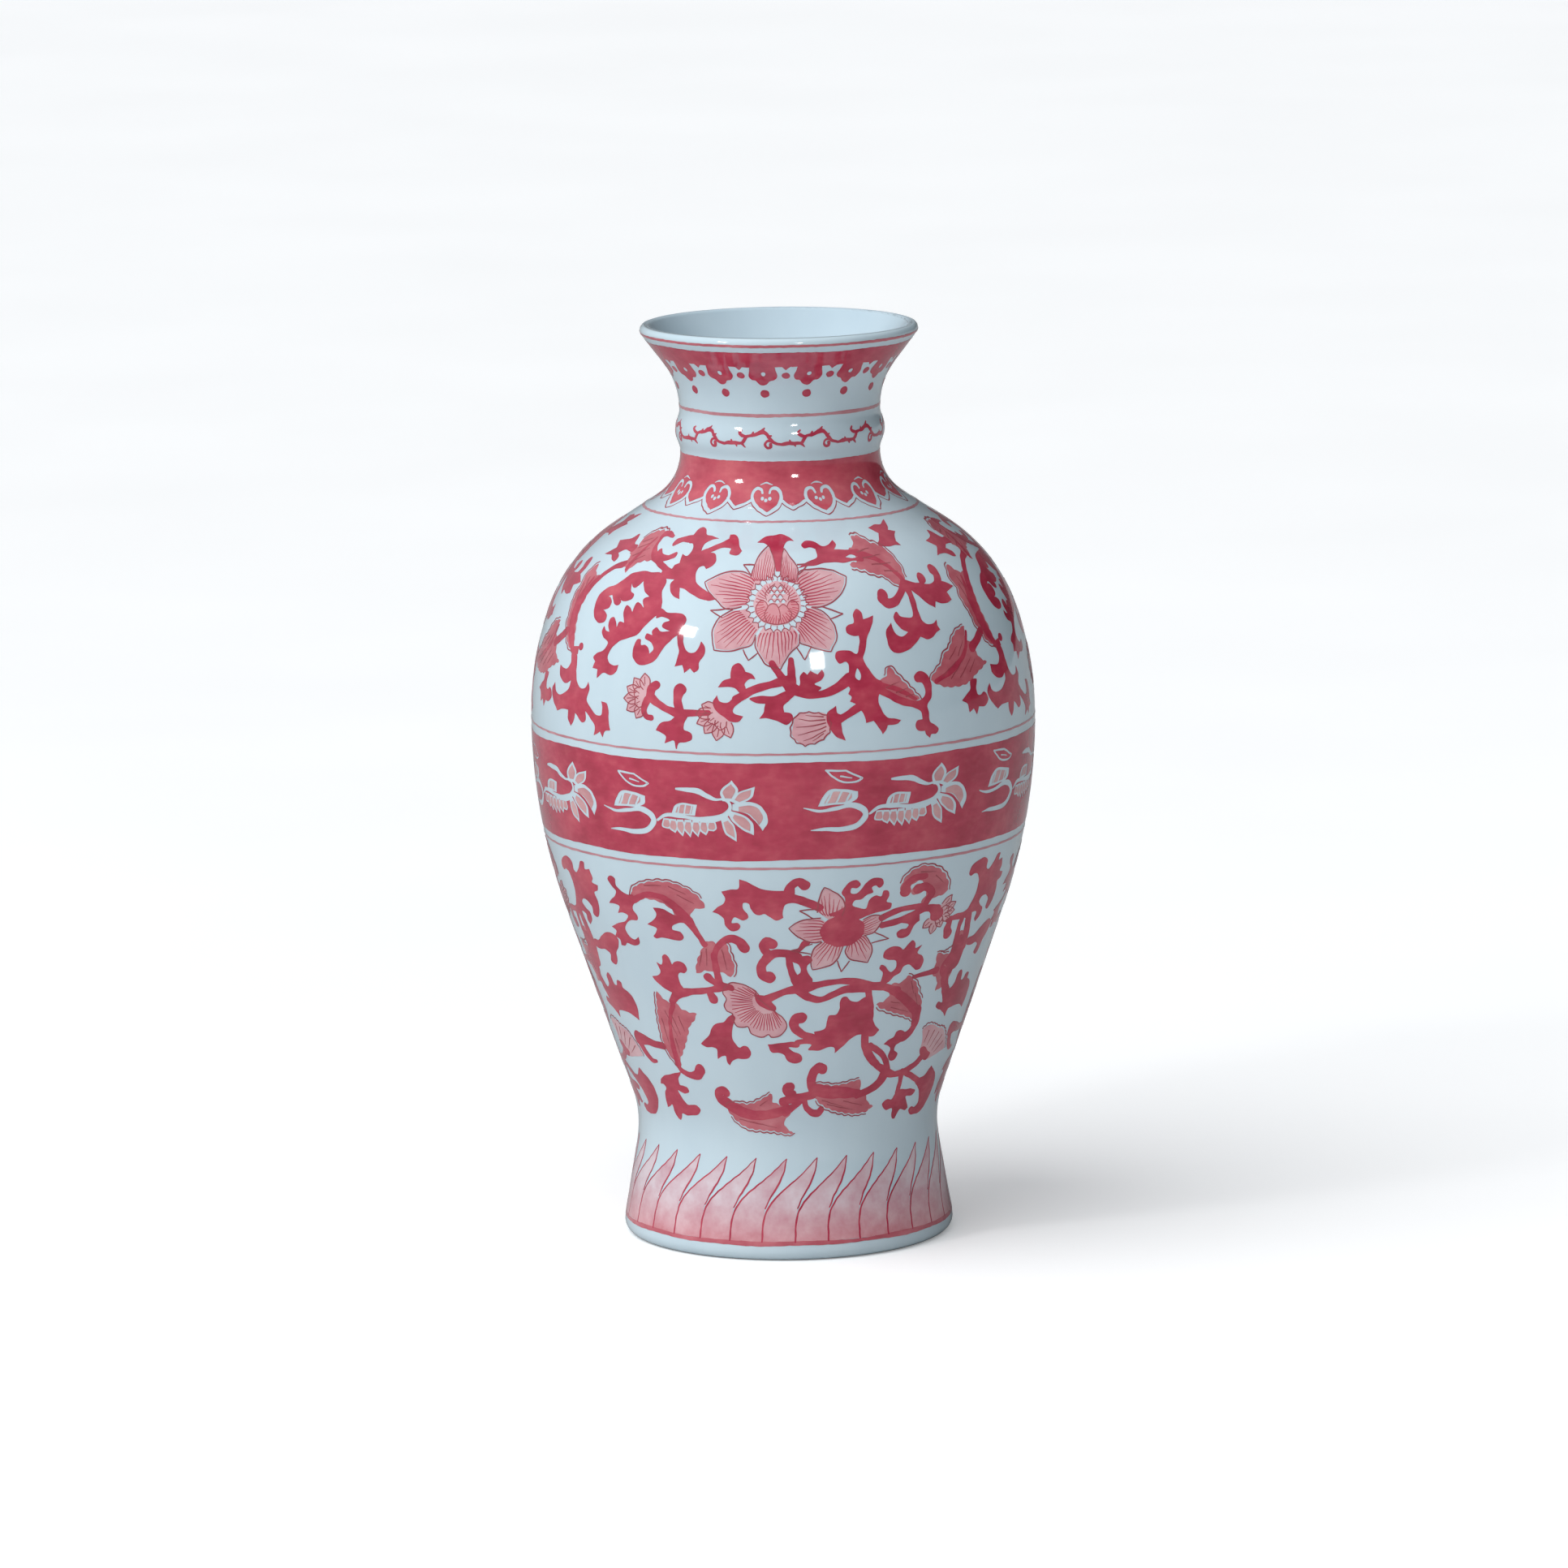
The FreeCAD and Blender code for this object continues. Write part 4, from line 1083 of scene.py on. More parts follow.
def upper_red_shapes():
    """All solid red of one repeat."""
    parts = [
        upper_left_plant(), long_leaf_stems(), upper_left_sprays(), tall_plant(), acanthus(), hooked_leaf(),
        low_left_branch(), low_right_leaves(), low_right_branch(), upper_right_sprays(),
        right_lobed_leaves(), low_right_sprays(),
    ]
    return all_shapes(parts)


def upper_leaf_hatching():
    """The fine dark hatching in the washed leaves."""
    hairs = [
        [(-52.5, 316), (-49.5, 317.6)], [(-52, 313.6), (-48, 316.4)], [(-51.5, 310.6), (-47, 314.2)],
        [(-50.8, 307.8), (-46.4, 311.6)], [(24.5, 314), (29.5, 315.2)], [(25.5, 311.6), (32, 312.4)],
        [(27.5, 309), (34, 309)], [(30.6, 306.2), (35, 305.6)], [(39.5, 261), (44.5, 266.5)],
        [(42, 259.6), (47, 267)], [(45, 259.4), (49.4, 267)], [(48.4, 261), (51, 266)],
        [(42.4, 267.6), (45.6, 272.6)], [(45.4, 268.6), (48, 274.6)], [(24, 259), (27.5, 261)],
        [(26.4, 256.6), (29.6, 258)], [(28.8, 254.4), (31.2, 255.2)], [(-64.6, 300), (-63, 291)],
        [(-65.6, 297), (-64.4, 284)], [(-64.4, 282), (-62.6, 275)],
    ]
    return all_shapes(UPPER.line(hair, HAIR_WIDTH) for hair in hairs)


def upper_leaf_ribs():
    """Deeper brush strokes in the washed leaves."""
    return (
        UPPER.line([(21.5, 312), (27, 312.6), (32, 308.6), (35, 303)], [2.2, 2.6, 2, 2.4])
        + UPPER.line([(37.5, 259.4), (43, 263.4), (48, 270), (50, 278)], [2, 2.6, 2.2, 1.2])
        + UPPER.line([(-62.4, 299.6), (-64.2, 290), (-63.4, 280), (-60.6, 271.6)], [1.6, 2.4, 2, 1.4])
        + UPPER.line([(-50.2, 306), (-49.2, 312), (-48, 318)], [2.4, 2, 1])
        + UPPER.line([(23, 260.4), (27.4, 257.4), (31.4, 253)], [1.8, 2.2, 1.4])
    )


FLOWER_MIDDLE = (-1.2, 295.5)
SCALLOP_POINTS = 8     # points along each scallop of an oval's edge


def oval(zone, middle, wide, tall, scallops, depth, pointed=False):
    """An oval whose edge swells in round or pointed scallops; wide in degrees, tall in mm."""
    turn = np.linspace(0, 2 * math.pi, scallops * SCALLOP_POINTS, endpoint=False)
    wave = np.abs(np.sin(scallops * turn / 2))
    swell = 1 + depth * (1 - wave if pointed else wave)
    x = (middle[0] + wide * swell * np.cos(turn)) * zone.mm_per_degree
    return np.column_stack([x, middle[1] + tall * swell * np.sin(turn)])


def around_edge(shape, width):
    """A closed line along a shape's edge."""
    return stroke(np.vstack([shape, shape[:1]]), [width, width])


def upper_petals():
    """The seven petals of the large flower."""
    return petals(UPPER, FLOWER_MIDDLE, [
        ([(-10.4, 294.3), (-13.8, 293), (-15.2, 293.8), (-17.5, 296.8), (-20.1, 300.1)], (-21.7, 303.4),
         [(-8.3, 306.2), (-10.1, 307.3), (-12.9, 308), (-15.7, 307.6), (-18.5, 306.2)]),
        ([(-12.5, 293), (-15.7, 289.7), (-17.1, 285.5), (-17.1, 281.3)], (-16.4, 276.3),
         [(-6.4, 283), (-7.4, 278.8), (-10.1, 277.2), (-12.9, 275.9)]),
        ([(-6.5, 282), (-6.5, 278.8), (-5.5, 274.7), (-3.7, 270.5)], (-0.5, 268.7),
         [(4.2, 283), (3.9, 278.8), (2.3, 276.3), (0.9, 273)]),
        ([(4.2, 282.5), (4.2, 279.7), (6.5, 278), (9.2, 276.3)], (11.5, 275.5),
         [(7.4, 293.8), (10.2, 292.2), (11.8, 289.3), (13, 285.5), (13.2, 281.3)]),
        ([(7.6, 293.9), (9.7, 293.8), (12.5, 295.1), (14.8, 297.2), (17.1, 300.9)], (18.5, 305.1),
         [(4.6, 306), (5.3, 308), (7.9, 308.4), (11.1, 308.7), (14.8, 307.8)]),
        ([(-9, 305.5), (-8.3, 308.8), (-7.4, 313), (-5.5, 316.3)], (-4.1, 317.8),
         [(-2, 306), (-2.1, 311.3), (-3, 314.7)]),
        ([(-0.5, 306), (0, 311.3), (0.3, 314.6)], (0.9, 316.5),
         [(4.4, 304.5), (4.8, 308), (4.4, 310.1), (2.8, 313)]),
    ], hairs=11)


HEART_WIDE, HEART_TALL = 5.9, 8.5      # degrees and mm, the inner disc's half sizes
LACE_WIDE, LACE_TALL = 7.3, 10.3       # the same of the lace of pale points round it
LACE_POINTS = 26
LACE_FOLD = (1.04, 1.2)                # where its folds start and end, as a share of the disc
LACE_WIDTH, LACE_FOLD_WIDTH = 0.35, 0.3      # mm
SCALE_ACROSS, SCALE_DOWN = 1.6, 1.75   # degrees and mm between the pale scales in the disc
SCALE_TOP = 301.6                      # mm, height of their first row
SCALE_SIZE = (2.1, 1.4)                # mm, across and up
SCALE_BROW = ((-0.75, -0.2), (0, 1), (0.75, -0.2))    # the line over each
HEART_SCALES = [
    (FLOWER_MIDDLE[0] + SCALE_ACROSS * (step - (1 + row % 2) / 2), SCALE_TOP - SCALE_DOWN * row)
    for row in range(4) for step in range(2 + row % 2)
]
HEART_LINE = 0.4                       # mm, width of the lines in the heart
RAY_WIDTH = 0.32                       # mm, width of its hatching
LOW_RAYS = 22                          # strokes along the heart's lower edge
LOW_RAYS_FROM, LOW_RAYS_SPREAD = 195, 150    # degrees round the heart
LOW_RAY = (0.56, 0.97)                 # where they start and end, as a share of the disc
LOW_RAY_STAGGER = 0.12                 # how much further out every other one starts
SIDE_RAYS = 9                          # strokes in each side petal
SIDE_RAYS_FROM, SIDE_RAYS_STEP = 22, 9       # degrees from straight up
SIDE_RAY = (0.6, 0.95)


def heart_spot(turn, share):
    """A place in the flower's heart: an angle, and 0 for the middle to 1 for the disc's edge."""
    return (FLOWER_MIDDLE[0] + HEART_WIDE * share * math.cos(turn),
            FLOWER_MIDDLE[1] + HEART_TALL * share * math.sin(turn))


def lace():
    """The pointed outer edge of the pale lace."""
    return oval(UPPER, FLOWER_MIDDLE, LACE_WIDE, LACE_TALL, scallops=LACE_POINTS, depth=0.13, pointed=True)


def upper_flower_lines():
    """Sepals, the lace and the outlines in the large flower's heart."""
    lines = []
    for start, tip, end in (
        ((-13.4, 293.4), (-18.4, 292.4), (-15, 289.6)), ((10.2, 294), (15.4, 290.6), (12, 288.8)),
        ((3.4, 277.5), (5.2, 272.4), (6.8, 277.6)), ((-9.4, 276.8), (-8, 272.4), (-5.9, 275.4)),
        ((-8.4, 306.2), (-11.4, 310.6), (-8, 310.4)), ((4.9, 306.6), (8.2, 310.6), (4.6, 310.4)),
    ):
        lines += sepal(UPPER, start, tip, end)
    lines += around_edge(lace(), LACE_WIDTH)
    for point in range(LACE_POINTS):
        turn = (point + 0.5) * 2 * math.pi / LACE_POINTS
        lines += UPPER.line([heart_spot(turn, share) for share in LACE_FOLD], LACE_FOLD_WIDTH)
    for x, y in HEART_SCALES:
        lines += UPPER.line([(x + aside, y + up) for aside, up in SCALE_BROW], RAY_WIDTH)
    for shape in heart_puff():
        lines += around_edge(shape, HEART_LINE)
    for fold in (
        [(-3.6, 294.4), (-4.4, 291.4), (-3.8, 288.4)], [(-0.9, 293.8), (-0.4, 290.6), (-1, 287.6)],
        [(1.2, 294.4), (2.4, 291.4), (1.8, 288.4)],
    ):
        lines += UPPER.line(fold, HEART_LINE)
    side_petal = ((2.8, 296.8), (3.2, 299.4), (2, 301.8), (0.6, 303.4))
    for side in (-1, 1):
        lines += UPPER.line([(FLOWER_MIDDLE[0] + side * x, y) for x, y in side_petal], LACE_WIDTH)
    return lines


def heart_puff():
    """The lobed deeper petals along the bottom of the heart."""
    return UPPER.shape([
        (-6.7, 294), (-5.6, 296.6), (-4.1, 296), (-3.6, 294.4, TIP), (-2.6, 295.4), (-1.5, 295.2),
        (-0.9, 293.8, TIP), (0.2, 295.2), (1.2, 294.4, TIP), (2, 296.2), (3.4, 296.4), (4.3, 294),
        (3.6, 290.6), (1.4, 288), (-1.2, 287.2), (-3.8, 288), (-5.9, 290.4),
    ])


def heart_rays():
    """Red hatching in the heart: fine strokes in its side petals and along its lower edge."""
    rays = []
    start, end = LOW_RAY
    for hair in range(LOW_RAYS):
        turn = (LOW_RAYS_FROM + LOW_RAYS_SPREAD * hair / (LOW_RAYS - 1)) * DEG
        inner = heart_spot(turn, start + LOW_RAY_STAGGER * (hair % 2))
        rays += UPPER.line([inner, heart_spot(turn, end)], RAY_WIDTH)
    for side in (1, -1):
        for hair in range(SIDE_RAYS):
            turn = (90 + side * (SIDE_RAYS_FROM + SIDE_RAYS_STEP * hair)) * DEG
            rays += UPPER.line([heart_spot(turn, share) for share in SIDE_RAY], RAY_WIDTH)
    return rays


def heart_scales():
    """The pale scales at the middle of the heart."""
    return all_shapes(UPPER.dot(x, y, *SCALE_SIZE) for x, y in HEART_SCALES)


def flower_head():
    """The red spray on top of the large flower."""
    return UPPER.shape([
        (-8.3, 318.7, TIP), (-6, 320.5), (-2.8, 321.2), (0, 321.5), (2.8, 320.5), (4.4, 319, TIP),
        (2.3, 319), (1.2, 318), (0.5, 315.5), (0, 311.3), (-0.5, 308, TIP), (-1.6, 308, TIP), (-2.1, 311.3),
        (-3, 314.7), (-4.2, 317.2), (-6, 318.4),
    ])


def small_blossoms():
    """The two many-petalled blossoms near the band."""
    left_fill, left_lines = fan(UPPER, (-32.6, 254.4), [
        (-33.6, 265), (-36.4, 262.6), (-38.2, 258.6), (-38.8, 253.6), (-37.8, 248.6), (-35, 245.6),
        (-36, 257.8), (-35.6, 251.6),
    ], spread=4.6)
    right_fill, right_lines = fan(UPPER, (-13.8, 250), [
        (-18.6, 253.4), (-20, 249.4), (-19.6, 245), (-17.8, 241), (-15, 238), (-11.8, 239.4), (-17, 246),
        (-14.2, 242.6),
    ], spread=4.6)
    return left_fill + right_fill, left_lines + right_lines


def bud_lines():
    """The outline and folds of the egg-shaped bud."""
    lines = frill(UPPER, [(10, 249), (6.5, 250.6), (3, 249.6), (1.7, 245.5), (1.4, 241.4), (2.6, 237.6),
                          (4.8, 235.7)], waves=8)
    lines += frill(UPPER, [(4.8, 235.7), (7.6, 237), (10, 240.3), (10.8, 244.7), (10.1, 249)], waves=5)
    for start, middle, end in (
        ((9.4, 247), (6.4, 246.6), (3.4, 247.6)), ((9.6, 245.6), (6.2, 244.4), (2.8, 244)),
        ((9.6, 244), (6.4, 242), (3.2, 240.6)), ((9.4, 242.4), (7, 240), (4.4, 238)),
        ((9, 248.2), (7, 248.6), (5, 249)), ((9, 241), (7.8, 239.4), (6.4, 238)),
    ):
        lines += UPPER.line([start, middle, end], HAIR_WIDTH)
    return lines


def paint_upper_scrolls():
    """All of the upper register, which comes three times round the vase."""
    openings = UPPER.repeated(trunk_opening() + over_slit())
    heart = UPPER.repeated([oval(UPPER, FLOWER_MIDDLE, HEART_WIDE, HEART_TALL, scallops=13, depth=0.05)])
    petal_fills, petal_edges, petal_hatching = upper_petals()
    blossom_fills, blossom_edges = small_blossoms()
    red = UPPER.repeated(upper_red_shapes() + flower_head() + upper_leaf_ribs())
    lace_opening = UPPER.repeated([lace()])
    leaf_fills, leaf_lines = joined([long_leaf_fill(), feathered_leaf_fill(), washed_leaf_fills()])
    pinks = UPPER.repeated(petal_fills + blossom_fills + bud_fill())
    lines = petal_edges + upper_flower_lines() + blossom_edges + bud_lines() + leaf_lines
    lines = UPPER.repeated(lines + upper_leaf_hatching())
    hatching = UPPER.repeated(petal_hatching + heart_rays())
    enamel("upper_scroll_red", UPPER, red, RED, RED_LIFT, openings)
    enamel("upper_leaf_wash", UPPER, UPPER.repeated(leaf_fills), WASH, PINK_LIFT)
    enamel("upper_petals_pink", UPPER, pinks, PINK, PINK_LIFT, lace_opening)
    enamel("upper_flower_heart", UPPER, heart, PINK, PINK_LIFT,
           UPPER.repeated(heart_scales()))
    enamel("upper_heart_puff", UPPER, UPPER.repeated(heart_puff()), DEEP_PINK, PUFF_LIFT)
    enamel("upper_petal_hatching", UPPER, hatching, RED, RED_LIFT)
    enamel("upper_fine_lines", UPPER, lines, DARK, DARK_LIFT)


paint_upper_scrolls()


# ---------------------------------------------------------------- lower scrollwork

LOWER = Zone(low=54.0, high=180.4, girth_radius=88.8, repeats=3)
BLOSSOM_EDGE_WIDTH = 0.5              # mm
BLOSSOM_RAY = (0.36, 0.9)             # where the half rosette's rays start and end, from base to rim
BLOSSOM_RAY_WIDTH = [0.3, 0.5, 0.3]   # mm


def arched_leaf_sprig():
    """The sprig left of the first arched leaf, the leaf's stem and the small leaf under it."""
    sprig = [
        (-40.2, 165.8), (-41.5, 165.5), (-43.5, 166.5), (-45.2, 169), (-45.2, 172), (-46.5, 173.1),
        (-47.8, 171.5), (-47.2, 169), (-45.7, 166.3), (-46.2, 164.2), (-48, 162), (-49.2, 160, TIP),
        (-47.3, 160), (-45.6, 159.3), (-46.8, 155.9, TIP), (-45, 156.5), (-43.3, 155.6), (-44.6, 152.8),
        (-46.8, 151.4), (-48.6, 150.3), (-50.8, 148.8, TIP), (-49.4, 147), (-50.6, 144.2, TIP),
        (-49, 143.2), (-48.9, 140.3, TIP), (-47.5, 140.5), (-46.4, 142), (-43.5, 141.3), (-41.6, 143),
        (-41.3, 145.8, TIP), (-43, 144.3), (-44.6, 145.3), (-45.6, 148), (-44.8, 151), (-42.5, 153.5),
        (-40.4, 154), (-40, 156), (-41, 158.5), (-40.8, 160.5), (-39.4, 163.2),
    ]
    small_leaf = [
        (-26.7, 158.2), (-28.5, 158.5), (-30, 159.5), (-31.5, 160.8), (-34.5, 160.8, TIP), (-33.8, 158.5),
        (-34.2, 156.5), (-35.8, 154.3), (-37.3, 152.6, TIP), (-35.5, 152), (-34.5, 151), (-35.2, 149),
        (-36.1, 147.2), (-35.5, 146.4), (-33.8, 147.2), (-32.3, 147), (-30, 146.6), (-28, 146.6),
        (-26.9, 148.3), (-27.6, 150.6), (-29.8, 151.4), (-29.6, 153.2), (-27.5, 154.9), (-25, 155.4),
        (-24.6, 157.5),
    ]
    return (
        LOWER.shape(sprig)
        + LOWER.shape(small_leaf)
        + LOWER.line([(-40, 163.4), (-36, 166.6), (-31, 166), (-27.6, 161.6), (-25.6, 157.4)],
                     [3, 2.6, 2.8, 3.8, 5])
        + LOWER.line([(-25, 156.5), (-23.6, 152.5), (-22.3, 148.5), (-21.4, 145.6)], [4.6, 3, 2.4, 2.8])
    )


def arched_leaf_fill():
    """The first arched leaf."""
    return frilled_leaf(LOWER, [
        (-40.3, 165.6), (-39.5, 168.5), (-37, 171), (-33.5, 172.7), (-29.5, 173.2), (-26, 172),
        (-23, 169.5), (-20.8, 166), (-20, 162.7, TIP), (-22.2, 162.6), (-23.8, 160.8), (-24.4, 157.5),
        (-25.5, 155.5), (-27.5, 156.5), (-28.3, 159.5), (-29.5, 162), (-32, 164.2), (-35.5, 165.2),
        (-38.8, 164.2),
    ], (0, 7))


def drape_leaf_stems():
    """The hook over the drape leaf and the branch that runs left from it to the palm-shaped leaf."""
    palm = [
        (-31.3, 121), (-34.5, 121.2), (-37.5, 123.5), (-39.6, 126.3), (-40, 127.8, TIP), (-37.5, 129),
        (-36.6, 131), (-37.3, 134.8, TIP), (-35.8, 134), (-35.2, 135.5), (-34.8, 138.2), (-33.8, 139.2),
        (-32.8, 137.8), (-32.2, 134.8), (-31.5, 135.8), (-29.8, 136.6), (-28.1, 135.2), (-27.8, 133),
        (-28.8, 131.2), (-30, 131.2), (-31, 129.5), (-30.8, 126), (-30, 122.8),
    ]
    hook = [(-19.2, 140), (-18.3, 143.5), (-16, 147.6), (-13.8, 148.9), (-11.8, 147.5), (-10.8, 144.6)]
    return (
        LOWER.shape(palm)
        + LOWER.line(hook, [2.6, 2.6, 2.8, 3.6, 4, 4.6])
        + LOWER.line([(-19.2, 141), (-19.1, 136), (-18.9, 131), (-18.4, 127), (-15.5, 125.6)],
                     [2.6, 3, 3, 3.6, 3])
        + LOWER.line([(-35, 116.5), (-33, 120), (-29.5, 122), (-24.5, 123.2), (-20.5, 124.5), (-17, 125.8)],
                     [3.4, 4.4, 3.4, 2.8, 2.8, 3.6])
        + LOWER.line([(-21.8, 130), (-20, 127.5), (-18.8, 126)], [4, 2.8, 2.6])
        + LOWER.line([(-22, 122.8), (-21.2, 119.8)], [3, 4.6])
    )


def drape_leaf_fill():
    """The drape leaf's two sides."""
    left = [(-18.5, 146), (-20.5, 147), (-22, 143.5), (-23, 140.5), (-24.4, 135.8), (-25, 131.6, TIP),
            (-23, 133.2), (-21, 133.4), (-19.5, 133)]
    right = [(-17.8, 145), (-15.9, 146.4), (-15, 142), (-14.4, 138), (-14.1, 134.5), (-15.2, 130.8, TIP),
             (-16.5, 132.6), (-18.8, 133.8)]
    return joined([frilled_leaf(LOWER, left), frilled_leaf(LOWER, right, (1, 5))])


def left_hanging_leaf_fill():
    """The long hatched leaf that hangs at the left."""
    return frilled_leaf(LOWER, [
        (-40, 120.6, TIP), (-38.5, 117.6), (-36.5, 115.8), (-35.2, 115.6), (-34.4, 117.2), (-33, 114.2),
        (-31, 112.4), (-27.6, 111.8, TIP), (-29, 108.5), (-31, 105.5), (-32, 102), (-33.5, 97.5),
        (-35.5, 93), (-37.6, 88.5), (-38.6, 85.8, TIP), (-40, 88.5), (-41.5, 91.5), (-42.3, 96),
        (-42.2, 102), (-41.8, 108), (-41, 114),
    ], (14, 0))


def left_hanging_leaf_sprays():
    """The hook and the lobed leaf under the hanging leaf, and the stem that reaches it."""
    lobed = [
        (-38.2, 83, TIP), (-41, 81.7), (-44, 80.6), (-47, 79.3), (-49, 77.3), (-50, 75.2, TIP), (-48.2, 75),
        (-47.5, 73.8), (-48.8, 71.5), (-49.6, 68.5), (-49.8, 64, TIP), (-48.2, 64.8), (-46.8, 65.9),
        (-46.6, 62.5), (-45, 59.5), (-44, 59, TIP), (-43.2, 60.5), (-42.5, 62.3), (-40, 61.8), (-37, 62.3),
        (-34.6, 63.3), (-33.4, 65.3), (-34.6, 67.3), (-37, 67.2), (-39, 67.2), (-40.8, 70), (-41.8, 73.5),
        (-40.2, 72.9), (-38.5, 72.4), (-36.7, 73.5), (-37, 75.4), (-38.8, 76.2), (-40.2, 76.2), (-40.2, 79),
        (-38.9, 81.2),
    ]
    return (
        LOWER.shape(lobed)
        + LOWER.line([(-39, 88), (-38, 84), (-34.5, 81.9), (-31.4, 82.5), (-30, 85)],
                     [2.4, 2.6, 2.8, 4.4, 5.6])
        + LOWER.line([(-38.5, 87), (-38.8, 95), (-38, 104), (-36.5, 111), (-35, 115)], [4, 3, 2, 2, 2.6])
        + LOWER.line([(-54.8, 95.5), (-51, 95.5), (-47.5, 94.5), (-43, 94.2)], [7, 4.4, 3.4, 3.2])
        + LOWER.line([(-54.5, 93), (-53, 89), (-50.5, 86), (-48.6, 86)], [4, 3.6, 3, 1.6])
    )


def blossom_fill():
    """The blossom that opens down and left, like half a rosette."""
    return LOWER.shape([
        (-9, 122.3, TIP), (-8.5, 124), (-10.5, 126.3), (-13, 127.8), (-15.5, 127.8), (-17.2, 126),
        (-18, 123), (-17.3, 120), (-18.1, 117), (-17.6, 114.5), (-16, 113.2), (-15.9, 110), (-15, 107.5),
        (-13, 107), (-11.6, 107.2), (-11, 104.5), (-9, 102.8), (-7, 102.6), (-5.5, 103.6), (-4.8, 102.5),
        (-2.5, 103), (-0.8, 105), (0, 108), (-0.8, 111), (-2.2, 113.2), (-3.6, 115, TIP),
    ])


def blossom_outline():
    """The half rosette's outline."""
    return all_shapes(around_edge(fill, BLOSSOM_EDGE_WIDTH) for fill in blossom_fill())


def blossom_rays():
    """The half rosette's rays."""
    base = (-5.5, 119)
    rim = [(-10, 126), (-13, 127), (-16, 126), (-17.2, 122.6), (-17, 119), (-17, 115), (-15.4, 111.6),
           (-14.6, 108.6), (-12.4, 108), (-10.6, 105.4), (-8.4, 104), (-6, 104.4), (-4, 104), (-1.8, 105.6),
           (-1, 108.4), (-2, 111.6)]
    rays = []
    for spot, following in zip(rim, rim[1:] + rim[-1:]):
        for end in (spot, between(spot, following, 0.5)):
            rays += LOWER.line([between(base, end, share) for share in BLOSSOM_RAY], BLOSSOM_RAY_WIDTH)
    return rays


def blossom_branch():
    """The blossom's calyx and stem, and the lobed leaf under it."""
    calyx = [(-9, 122.5, TIP), (-6.5, 122.3), (-5, 121.5), (-4.4, 119.5), (-3, 116.5), (-3.4, 114.6, TIP),
             (-5.2, 115.4), (-6.6, 116.4), (-7.8, 117.5), (-8.6, 119.5)]
    leaf = [
        (-16, 113, TIP), (-17.5, 111.5), (-19, 109), (-21.5, 108), (-23.3, 105.5), (-24.3, 102.5),
        (-26, 100.3), (-27.9, 97.8, TIP), (-26, 96.3), (-23.8, 96.6), (-22.6, 95.8), (-22.8, 91.2, TIP),
        (-21, 92.6), (-19.8, 92.6), (-19.6, 89.5), (-18.8, 88.5, TIP), (-17.8, 90.5), (-16, 91.8),
        (-14.5, 91.7), (-12.3, 92.3), (-11.4, 94.8), (-12.2, 97.4), (-13.6, 98), (-15, 97.2), (-16, 98.5),
        (-16.9, 101.5), (-16.7, 105), (-15.8, 109), (-15.2, 111.5),
    ]
    stem = [(-5.5, 120.6), (-3, 122.4), (0, 124.3), (3, 125.3)]
    return LOWER.shape(calyx) + LOWER.shape(leaf) + LOWER.line(stem, [4, 3, 3.2, 4])


def left_acanthus():
    """The acanthus that reaches the second flower from the left."""
    leaf = [
        (-15.3, 170.8, TIP), (-13, 171.8), (-11.3, 172), (-10.8, 176.6, TIP), (-8.5, 175), (-6, 172.5),
        (-3, 171.5), (0, 171.4), (2, 170), (5, 168), (8, 165.5), (9.4, 163.5), (8.4, 161.5), (6.4, 162.8),
        (4, 164.6), (1.5, 165.8), (0, 165), (-0.7, 162), (-0.5, 159, TIP), (-2.2, 157.7), (-4, 159.4),
        (-5.2, 160.8), (-6.4, 160.2), (-7.5, 160.8), (-8.4, 163), (-8.9, 165.5), (-10.1, 165.8),
        (-10.4, 163.5), (-9.4, 160.8), (-9.2, 158.8), (-10.4, 157.6), (-12.6, 159), (-13.5, 156.2),
        (-12, 156.5), (-11.3, 155), (-12, 153), (-13.6, 152.6), (-15, 154.6), (-15.5, 158.5), (-16.5, 160),
        (-18.1, 161.2, TIP), (-16.8, 163.2), (-15.2, 165), (-14.6, 167.4),
    ]
    hook = [(0.8, 170), (1.4, 173.6), (3.2, 175.5), (4.6, 173.8)]
    return LOWER.shape(leaf) + LOWER.line(hook, [4.6, 3.4, 3.4, 4.4])


def forked_stem():
    """The forked stem left of the second flower."""
    body = [
        (0.5, 141.5), (3, 144.5), (4.6, 148.2), (6.3, 147.3), (3.6, 142.8), (3.4, 140.6), (6, 141),
        (6.9, 138.5), (5.5, 136), (5.8, 133), (7.2, 129.5), (6.5, 126.5), (4.5, 125), (2.2, 127.5),
        (1.8, 131), (3.8, 133), (3.4, 136.6), (1.7, 138.2),
    ]
    return (
        LOWER.shape(body)
        + LOWER.line([(3, 140.4), (0.5, 142), (-3, 142.2), (-5.2, 140)], [4, 3.6, 3.8, 4])
        + LOWER.line([(-4.5, 141.5), (-5.8, 145.5), (-4.8, 148), (-3.6, 146.8)], [3.8, 3.6, 3.6, 4.8])
        + LOWER.line([(-4.8, 140.5), (-6.6, 136), (-6.2, 132), (-4.6, 131)], [4, 3.8, 4.2, 5.4])
        + LOWER.line([(0.6, 141.5), (1.2, 135), (2.5, 129.5), (4, 125.5)], [2.6, 2.8, 3.4, 5])
    )


